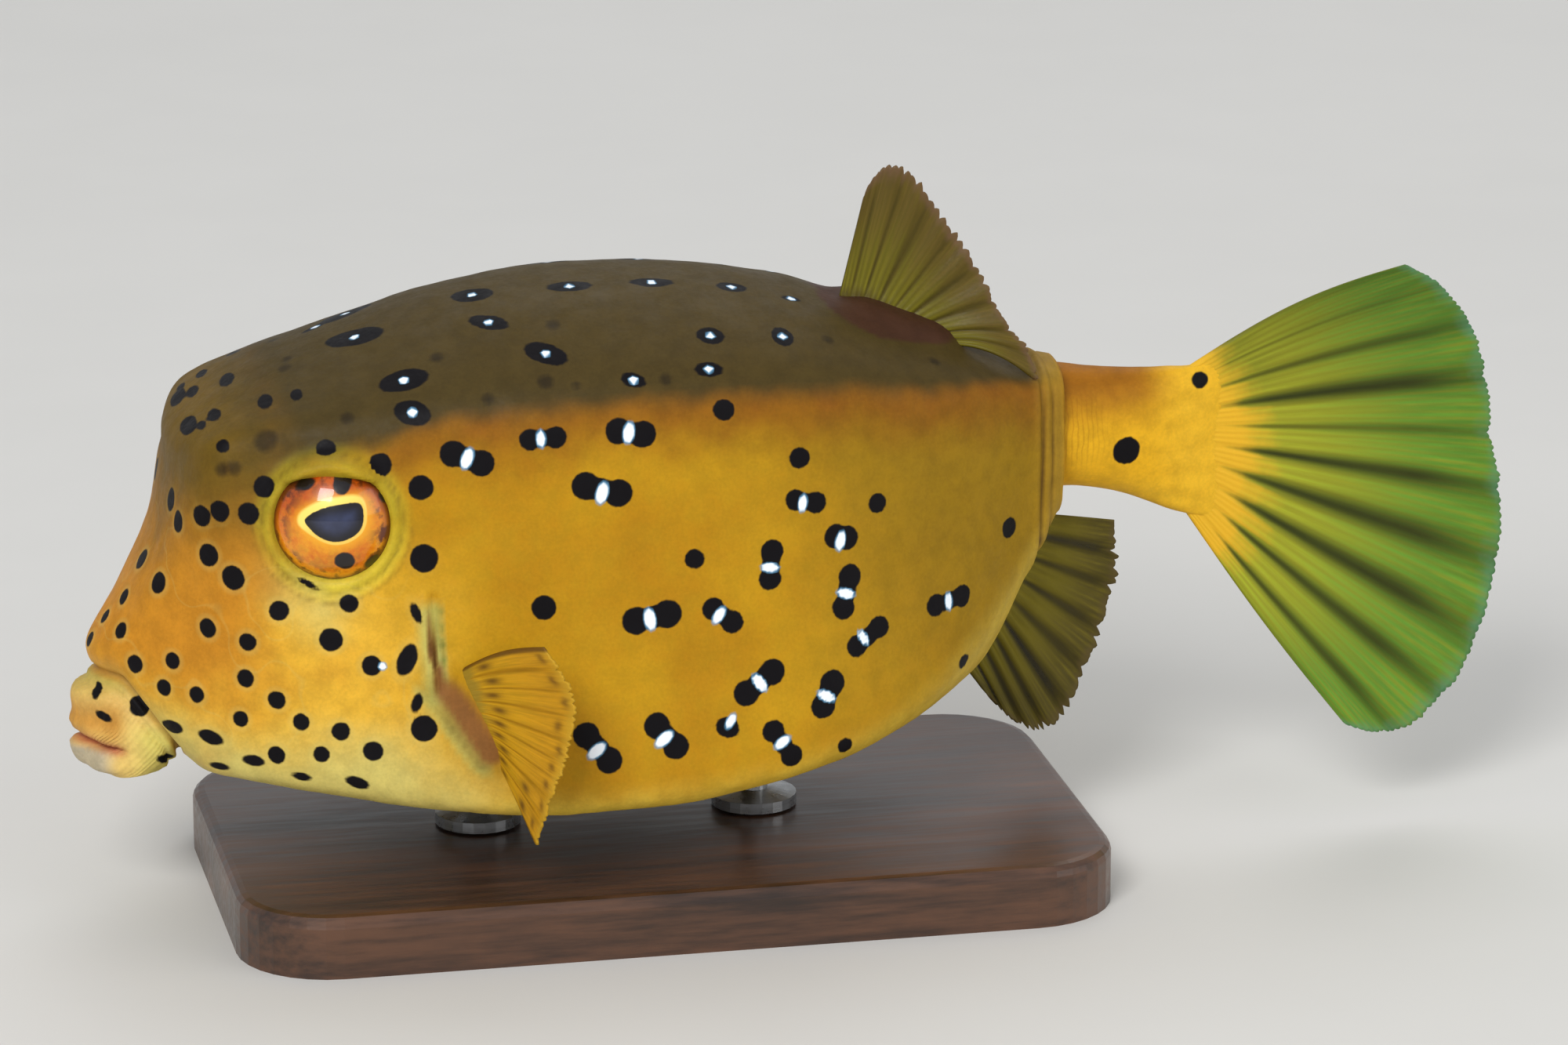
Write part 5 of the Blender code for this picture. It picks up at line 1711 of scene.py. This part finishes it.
@dataclass
class Eyeball:
    """One eye: a flattened ball with a flat-topped pupil."""

    side: float
    form: EyeForm = field(default_factory=EyeForm)
    segments: int = 128
    rings: int = 72
    pupil_outline: tuple = ((-3.0, 1.4), (-1.0, 2.75), (1.85, 3.35), (3.7, 3.2), (4.15, 1.65), (3.7, 0.0),
                            (2.3, -1.05), (0.55, -1.35), (-1.2, -0.75), (-2.4, 0.25))
    spots: tuple = ((1.5, 5.6, 1.15, 1.25, 0.0), (1.75, -4.0, 1.25, 1.25, 0.0), (4.8, -4.6, 1.15, 0.55, 42.0),
                    (-3.1, 5.35, 1.35, 0.65, 22.0), (6.6, 3.6, 1.0, 0.7, -60.0))
    lit: Triple = (0.5 / 4.5 - 1.2 / 2.6, -1.0 / 4.5, 1.0 / 2.6)

    def spot_distance(self, across: np.ndarray, up: np.ndarray) -> np.ndarray:
        """Measure places on the eye from the nearest of the iris's dark spots.

        Args:
            across: The places rearwards of the eye's middle.
            up: The places above it.

        Returns:
            The distances, no more than 2.
        """
        gaps = []
        for x, z, length, width, tilt in self.spots:
            turn = math.radians(tilt)
            run = (across - x) * math.cos(turn) + (up - z) * math.sin(turn)
            beside = (up - z) * math.cos(turn) - (across - x) * math.sin(turn)
            gaps.append(0.5 * width * ((run / length) ** 2 + (beside / width) ** 2 - 1.0))
        return np.minimum(np.min(gaps, axis=0), 2.0)

    def outline(self) -> np.ndarray:
        """Give the pupil's closed outline as close points, in millimetres across and up."""
        keys = np.array(self.pupil_outline + self.pupil_outline[:3])
        return spline(keys, np.linspace(1.0, len(self.pupil_outline) + 1.0, 160, endpoint=False))

    def pupil_distance(self, across: np.ndarray, up: np.ndarray) -> np.ndarray:
        """Measure places on the eye from the pupil's outline, less than 0 inside it.

        Args:
            across: The places rearwards of the eye's middle.
            up: The places above it.

        Returns:
            The distances.
        """
        plane = np.stack((across, up), axis=1)
        border = self.outline()
        gaps = np.linalg.norm(plane[:, None, :] - border[None, :, :], axis=2).min(axis=1)
        following = np.roll(border, -1, axis=0)
        above, above_next = (ends[None, :, 1] > plane[:, 1, None] for ends in (border, following))
        run, rise = (following - border).T
        share = (plane[:, 1, None] - border[None, :, 1]) / np.where(np.abs(rise) < 1e-9, 1e-9, rise)
        meets = border[None, :, 0] + share * run
        inside = ((above != above_next) & (plane[:, 0, None] < meets)).sum(axis=1) % 2 == 1
        return np.where(inside, -gaps, gaps)

    def build(self, material: bpy.types.Material) -> bpy.types.Object:
        """Make the eyeball.

        Args:
            material: What it is dressed in.

        Returns:
            The eyeball's object.
        """
        form = self.form
        axis = form.axis(self.side)
        upward = np.array((0.0, 0.0, 1.0))
        rearward = np.array((math.cos(form.toe_in), self.side * math.sin(form.toe_in), 0.0))
        bends = np.linspace(0.0, math.pi, self.rings + 1)[1:-1]
        angles = np.linspace(0.0, 2.0 * math.pi, self.segments, endpoint=False)
        across = np.outer(np.sin(bends), np.cos(angles)) * form.radius
        up = np.outer(np.sin(bends), np.sin(angles)) * form.radius
        out = np.repeat(np.cos(bends)[:, None], self.segments, axis=1) * form.depth
        across = np.append(across.ravel(), (0.0, 0.0))
        up = np.append(up.ravel(), (0.0, 0.0))
        out = np.append(out.ravel(), (form.depth, -form.depth))
        points = (form.middle(self.side) + across[:, None] * rearward + up[:, None] * upward
                  + out[:, None] * axis)
        rings, columns = len(bends), self.segments
        front, rear = rings * columns, rings * columns + 1
        faces: list[tuple[int, ...]] = []
        for j in range(columns):
            k = (j + 1) % columns
            for i in range(rings - 1):
                faces.append((i * columns + j, (i + 1) * columns + j, (i + 1) * columns + k, i * columns + k))
            faces.append((front, j, k))
            faces.append((rear, (rings - 1) * columns + k, (rings - 1) * columns + j))
        if self.side == RIGHT:
            faces = [tuple(reversed(face)) for face in faces]

        masks = {
            "pupil": self.pupil_distance(across, up),
            "reach": np.hypot(across, up),
            "height": up,
            "lit": self.lit[0] + self.lit[1] * across + self.lit[2] * up,
            "spot": self.spot_distance(across, up),
        }
        name = "left" if self.side == LEFT else "right"
        piece = Mesh(f"eyeball_{name}", points, faces, masks).build(material)
        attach(piece, BODY)
        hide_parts(f"eye_{name}")
        return piece


@dataclass
class FinFan:
    """A fan of rays between a root line and a free edge, in a membrane with two faces."""

    name: str
    node: str
    root: tuple
    edge: tuple
    rays: int
    sweep: float
    first_bow: Triple = (0.0, 0.0, 0.0)
    last_bow: Triple = (0.0, 0.0, 0.0)
    membrane: float = 0.42
    tip_membrane: float = 0.22
    ridge: float = 0.5
    plateau: float = 0.6
    border_depth: float = 0.3
    pleats: tuple[float, ...] = ()
    root_swell: float = 2.6
    swell_reach: float = 0.3
    strands: int = 3
    columns_per_ray: int = 16
    rows: int = 64
    fray: float = 0.5
    teeth: float = 4.0
    notch: float = 0.5
    ripple: float = 0.0
    seed: int = 3
    dashed: bool = False

    def middle(self, fan: np.ndarray, span: np.ndarray) -> np.ndarray:
        """Give the fin's middle surface.

        Args:
            fan: Shares across the rays, one for each column.
            span: Shares from the root to the edge, one for each row.

        Returns:
            The grid of points.
        """
        rng = np.random.default_rng(self.seed)
        root = spline(self.root, fan * (len(self.root) - 1))
        edge = spline(self.edge, fan * (len(self.edge) - 1))
        way = edge - root
        length = np.linalg.norm(way, axis=1, keepdims=True)
        ray_place = fan * self.rays
        combs = self.rays * 8
        teeth = np.abs(np.sin(math.pi * ray_place * self.teeth))
        jitter = np.interp(fan * combs, np.arange(combs + 1), rng.uniform(-1.0, 1.0, combs + 1))
        notch = bump(ray_place - np.round(ray_place), 0.0, 0.09)
        lengthen = self.fray * (0.5 * teeth + 0.4 * jitter - self.notch * notch - 0.2)
        grid = root[:, None] + way[:, None] * span[None, :, None]
        lengthen *= smoothstep(0.0, 0.12, fan)
        grid += (way / length * lengthen[:, None])[:, None] * smoothstep(0.75, 1.0, span)[None, :, None]
        sweep = self.sweep * np.sin(0.5 * math.pi * span) ** 2
        grid[..., 1] += sweep[None, :] * np.sin(math.pi * fan)[:, None]
        curve = np.sin(math.pi * span)[None, :, None]
        grid += ((1.0 - fan) ** 4)[:, None, None] * curve * np.array(self.first_bow)
        grid += (fan ** 4)[:, None, None] * curve * np.array(self.last_bow)
        wave = np.sin(2.0 * math.pi * ray_place)[:, None] * (span ** 1.5)[None, :]
        slow = np.sin(2.0 * math.pi * fan * 1.7 + self.seed)[:, None] * (span ** 2)[None, :]
        grid[..., 1] += self.ripple * (0.6 * wave + slow)
        return grid

    def ray_mask(self, fan: np.ndarray, span: np.ndarray) -> np.ndarray:
        """Give how much of a ray each place holds: a broad band with a pleat on either side of it.

        Args:
            fan: Shares across the rays, one for each column.
            span: Shares from the root to the edge, one for each row.

        Returns:
            The mask, from 0 in a pleat to 1.
        """
        rng = np.random.default_rng(self.seed + 50)
        number = np.round(fan * self.rays).astype(int)
        spread = rng.uniform(0.6, 1.3, self.rays + 1)[number]
        depth = rng.uniform(0.7, 1.0, self.rays + 1)
        if self.pleats:
            depth[1:-1] = np.clip(self.pleats, 0.0, 1.0)
            spread = np.array((0.8, *self.pleats, 0.8))[number]
        depth[0] = depth[-1] = self.border_depth
        gap = np.abs(fan * self.rays - number)[:, None]
        widening = 0.55 + 0.45 * smoothstep(0.0, 0.5, span)
        reach = (0.5 * (1.0 - self.plateau) * spread)[:, None] * widening[None, :]
        fade = 1.0 - 0.5 * smoothstep(0.72, 1.0, span)
        fade *= 0.35 + 0.65 * smoothstep(0.0, 0.3, span)
        return 1.0 - (depth[number])[:, None] * smoothstep(1.0, 0.0, gap / reach) * fade[None, :]

    def strand_mask(self, fan: np.ndarray, span: np.ndarray) -> np.ndarray:
        """Give the fine filaments in each ray, twice as many in its outer part.

        Args:
            fan: Shares across the rays, one for each column.
            span: Shares from the root to the edge, one for each row.

        Returns:
            The mask, from 0 to 1.
        """
        place = 2.0 * math.pi * fan * self.rays * self.strands
        near = 0.5 + 0.5 * np.cos(place)[:, None]
        far = 0.5 + 0.5 * np.cos(2.0 * place)[:, None]
        share = smoothstep(0.35, 0.7, span)[None, :]
        return near * (1.0 - share) + far * share

    def dash_mask(self, across: np.ndarray, down: np.ndarray) -> np.ndarray:
        """Give the dark dashes between the rays, near the root and the edge, and both dark borders.

        Args:
            across: Each place's share across the rays.
            down: Its share from the root to the edge.

        Returns:
            The mask, from 0 to 1.
        """
        number = np.floor(across * self.rays)
        inner = 0.3 + 0.025 * np.sin(number * 2.3)
        outer = 0.9 + 0.03 * np.sin(number * 3.7)
        slim = bump((across * self.rays) % 1.0, 0.5, 0.24)
        dash = slim * (bump(down, inner, 0.08) + 0.8 * bump(down, outer, 0.035))
        dash += slim * smoothstep(0.75, 0.85, across) * bump(down, 0.66, 0.06)
        first = smoothstep(0.034, 0.014, across)
        last = 0.6 * smoothstep(0.975, 0.992, across) * smoothstep(0.3, 0.5, down)
        return np.maximum.reduce((dash, first, last))

    def build(self, material: bpy.types.Material) -> bpy.types.Object:
        """Make the fin.

        Args:
            material: What it is dressed in.

        Returns:
            The fin's object.
        """
        columns = self.rays * self.columns_per_ray + 1
        fan = np.linspace(0.0, 1.0, columns)
        span = np.linspace(0.0, 1.0, self.rows)
        middle = self.middle(fan, span)
        normal = np.cross(np.gradient(middle, axis=0), np.gradient(middle, axis=1))
        normal /= np.maximum(np.linalg.norm(normal, axis=2, keepdims=True), 1e-9)
        ray = self.ray_mask(fan, span)
        strand = self.strand_mask(fan, span)
        sheet = self.membrane + (self.tip_membrane - self.membrane) * span
        swell = (self.root_swell * np.clip(1.0 - span / self.swell_reach, 0.0, None) ** 2)[None, :] * (
            np.sin(math.pi * fan) ** 0.5)[:, None]
        rim = (1.0 - 0.6 * smoothstep(0.012, 0.0, np.minimum(fan, 1.0 - fan)))[:, None]
        ridged = ray * (0.75 + 0.25 * strand)
        thick = (sheet[None, :] + self.ridge * (1.0 - 0.6 * span)[None, :] * ridged) * rim + swell
        half = 0.5 * thick[..., None] * normal
        flat = np.concatenate(((middle - half).reshape(-1, 3), (middle + half).reshape(-1, 3)))
        index = np.arange(columns * self.rows).reshape(columns, self.rows)
        corners = (index[:-1, :-1], index[1:, :-1], index[1:, 1:], index[:-1, 1:])
        quads = np.stack(corners, axis=-1).reshape(-1, 4).tolist()
        offset = columns * self.rows
        faces = [tuple(reversed(face)) for face in quads]
        faces += [tuple(corner + offset for corner in face) for face in quads]
        border = np.concatenate((index[:, 0], index[-1, 1:], index[-2::-1, -1], index[0, -2:0:-1])).tolist()
        for here, there in zip(border, border[1:] + border[:1]):
            faces.append((here, there, there + offset, here + offset))

        across = np.repeat(fan[:, None], self.rows, axis=1)
        down = np.repeat(span[None, :], columns, axis=0)
        dash = self.dash_mask(across, down) if self.dashed else np.zeros_like(across)
        masks = {name: np.tile(values.ravel(), 2) for name, values in
                 (("ray", ray), ("strand", strand), ("fan", across), ("span", down), ("dash", dash))}
        piece = Mesh(self.name, flat, faces, masks).build(material)
        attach(piece, BODY)
        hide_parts(self.node)
        return piece

    def mirrored(self, name: str, node: str) -> FinFan:
        """Give the same fin for the right side.

        Args:
            name: The piece's name.
            node: The node that it replaces.

        Returns:
            The mirrored fin, not built yet.
        """
        flip = np.array((1.0, -1.0, 1.0))
        values = dict(self.__dict__)
        values.update(name=name, node=node, sweep=-self.sweep, ripple=-self.ripple,
                      first_bow=tuple(np.array(self.first_bow) * flip),
                      last_bow=tuple(np.array(self.last_bow) * flip),
                      root=tuple(tuple(np.array(key) * flip) for key in self.root),
                      edge=tuple(tuple(np.array(key) * flip) for key in self.edge))
        return FinFan(**values)


@dataclass
class Fins:
    """The five fins and their finishes."""

    dorsal: FinFan = field(default_factory=lambda: FinFan(
        "dorsal_fan", "dorsal_fin", rays=9, sweep=-1.6,
        root=((6.4, -0.4, 30.6), (10.6, -1.4, 29.6), (15.0, -2.6, 28.2), (18.8, -4.0, 27.0)),
        edge=((10.2, 0.0, 45.6), (12.5, -0.2, 49.6), (16.0, -0.4, 48.6), (19.4, -0.8, 43.8),
              (22.6, -1.6, 39.2), (25.2, -2.8, 34.2), (27.4, -4.6, 29.8), (29.8, -6.6, 26.6),
              (30.8, -8.6, 22.8)),
        last_bow=(0.0, -0.8, 1.6), root_swell=2.6, ripple=0.3, plateau=0.55, fray=0.7, border_depth=0.8))
    anal: FinFan = field(default_factory=lambda: FinFan(
        "anal_fan", "anal_fin", rays=9, sweep=1.0,
        root=((32.4, 0.0, 2.8), (28.8, 0.0, -4.4), (26.2, 0.0, -10.6), (22.6, 0.0, -15.8)),
        edge=((43.4, 0.0, 1.2), (43.6, 0.0, -7.0), (40.8, 0.0, -16.9), (36.4, 0.0, -25.6),
              (31.4, 0.0, -25.8), (26.4, 0.0, -20.9)),
        root_swell=2.2, ripple=0.3, plateau=0.25, fray=0.9, seed=5))
    tail: FinFan = field(default_factory=lambda: FinFan(
        "tail_fan", "tail_fin", rays=10, sweep=1.5,
        root=((52.8, 0.0, 21.0), (52.8, 0.0, 11.4), (52.8, 0.0, 1.8)),
        edge=((81.7, 0.0, 32.9), (86.6, 0.0, 29.8), (90.7, 0.0, 24.4), (93.1, 0.0, 17.3), (94.0, 0.0, 9.6),
              (95.6, 0.0, 1.6), (95.6, 0.0, -8.0), (93.2, 0.0, -18.0), (88.6, 0.0, -25.8), (82.0, 0.0, -30.0),
              (75.0, 0.0, -28.8)),
        first_bow=(0.0, 0.0, 1.7), last_bow=(-0.3, 0.0, -0.4), root_swell=0.9, columns_per_ray=36, rows=84,
        ripple=0.5, fray=0.55, teeth=9.0, plateau=0.28, strands=4, seed=7,
        pleats=(0.3, 0.7, 1.2, 0.6, 1.0, 1.2, 1.15, 0.95, 0.9)))
    pectoral: FinFan = field(default_factory=lambda: FinFan(
        "pectoral_fan_left", "pectoral_fin_left", rays=9, sweep=-1.6,
        root=((-46.6, -24.6, -5.6), (-44.6, -25.3, -10.6), (-42.0, -26.2, -15.8)),
        edge=((-37.6, -36.6, 0.8), (-34.6, -38.0, -5.0), (-35.4, -38.2, -12.0), (-37.1, -37.2, -17.6),
              (-38.6, -35.2, -25.2)),
        first_bow=(0.0, 0.0, 1.0), root_swell=2.6, ridge=0.3, ripple=0.2, plateau=0.55, border_depth=0.5,
        seed=9, dashed=True))

    def build(self) -> list[bpy.types.Object]:
        """Make the fins, each in its own finish.

        Returns:
            The fins' objects.
        """
        olive = FinFinish("dorsal_membrane", ray=srgb(118, 110, 26), outer=srgb(96, 78, 28),
                          membrane=srgb(74, 62, 14), foot=srgb(86, 74, 24), edge=srgb(106, 80, 56),
                          strand=srgb(80, 70, 16), clear=0.05, foot_reach=0.2, strand_strength=0.5)
        under = FinFinish("anal_membrane", ray=srgb(124, 112, 24), outer=srgb(78, 68, 24),
                          membrane=srgb(40, 34, 10), foot=srgb(144, 118, 24), edge=srgb(84, 70, 38),
                          strand=srgb(104, 94, 22), clear=0.12, foot_reach=0.14, strand_strength=0.5)
        # The tail's membrane colour shows in the pleats between the rays: partly its own dark colour, partly
        # painted shade that deepens the pleats.
        fan = FinFinish("tail_membrane", ray=srgb(166, 168, 42), outer=srgb(94, 142, 44),
                        membrane=srgb(54, 60, 14), foot=srgb(224, 174, 40), edge=srgb(86, 138, 106),
                        strand=srgb(134, 124, 30), clear=0.05, foot_reach=0.27, edge_start=0.94,
                        strand_strength=0.45, first_shade=0.62, first_foot=0.11)
        amber = FinFinish("pectoral_membrane", ray=srgb(196, 148, 20), outer=srgb(186, 134, 20),
                          membrane=srgb(176, 126, 16), foot=srgb(150, 122, 34), edge=srgb(188, 146, 36),
                          strand=srgb(184, 136, 16), clear=0.3, foot_reach=0.2, dash_strength=0.85)
        side = amber.build()
        far_pectoral = self.pectoral.mirrored("pectoral_fan_right", "pectoral_fin_right")
        return [self.dorsal.build(olive.build()), self.anal.build(under.build()),
                self.tail.build(fan.build()), self.pectoral.build(side), far_pectoral.build(side)]


@dataclass
class Stand:
    """The flat wooden base and the two steel rods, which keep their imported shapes."""

    wooden: tuple[str, ...] = ("stand_base",)
    steel: tuple[str, ...] = ("stand_rod_front", "stand_rod_rear")

    def dress(self) -> None:
        """Give the stand's nodes their finishes."""
        for names, finish in ((self.wooden, WoodFinish()), (self.steel, MetalFinish())):
            material = finish.build()
            for name in names:
                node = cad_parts[name]
                node.data.materials.clear()
                node.data.materials.append(material)


@dataclass(frozen=True)
class Lamp:
    """A soft square lamp."""

    name: str
    place: Triple
    size: float
    power: float
    colour: Triple = (1.0, 1.0, 1.0)

    def build(self, aim: Vector) -> bpy.types.Object:
        """Make the lamp and turn it to a place.

        Args:
            aim: Where the lamp points, in metres.

        Returns:
            The lamp.
        """
        data = bpy.data.lights.new(self.name, "AREA")
        data.shape = "SQUARE"
        data.size = self.size
        data.energy = self.power
        data.color = self.colour
        lamp = bpy.data.objects.new(self.name, data)
        lamp.location = self.place
        lamp.rotation_euler = (Vector(self.place) - aim).to_track_quat("Z", "Y").to_euler()
        bpy.context.scene.collection.objects.link(lamp)
        return lamp


@dataclass
class Studio:
    """A plain pale floor under soft lamps and an even pale surround."""

    floor_size: float = 8.0
    aim: Triple = (0.0, 0.0, 0.05)
    surround: float = 0.52
    sky: tuple[float, float, float, float] = (0.94, 0.97, 1.0, 1.0)
    lamps: tuple[Lamp, ...] = (
        Lamp("key_lamp", (-0.55, -0.95, 0.85), 0.5, 11.5),
        Lamp("fill_lamp", (0.9, -0.7, 0.5), 0.8, 3.0),
        Lamp("back_lamp", (0.25, 0.7, 1.1), 0.9, 4.0),
    )

    def build(self) -> None:
        """Make the floor, the lamps and the surround."""
        half = self.floor_size / 2
        data = bpy.data.meshes.new("floor")
        data.from_pydata([(-half, -half, 0.0), (half, -half, 0.0), (half, half, 0.0), (-half, half, 0.0)], [],
                         [(0, 1, 2, 3)])
        data.materials.append(FloorFinish().build())
        floor = bpy.data.objects.new("floor", data)
        bpy.context.scene.collection.objects.link(floor)
        for lamp in self.lamps:
            lamp.build(Vector(self.aim))
        world = bpy.data.worlds.new("surround")
        world.use_nodes = True
        sky = world.node_tree.nodes["Background"]
        sky.inputs["Color"].default_value = self.sky
        sky.inputs["Strength"].default_value = self.surround
        bpy.context.scene.world = world
        bpy.context.scene.view_settings.view_transform = "Standard"


def main() -> None:
    """Build the camera, the fish, its stand and the studio, and report each piece."""
    logging.basicConfig(level=logging.INFO, format="%(message)s")
    view = PhotoView()
    view.build()
    skin = Skin().build(SkinFinish().build(), Markings(view=view))
    LOG.info("%s: %d faces", skin.name, len(skin.data.polygons))
    eye_finish = EyeFinish().build()
    for side in (LEFT, RIGHT):
        eye = Eyeball(side).build(eye_finish)
        LOG.info("%s: %d faces", eye.name, len(eye.data.polygons))
    for fin in Fins().build():
        LOG.info("%s: %d faces", fin.name, len(fin.data.polygons))
    Stand().dress()
    LOG.info("stand dressed")
    Studio().build()
    LOG.info("studio lit")


if __name__ == "__main__":
    main()
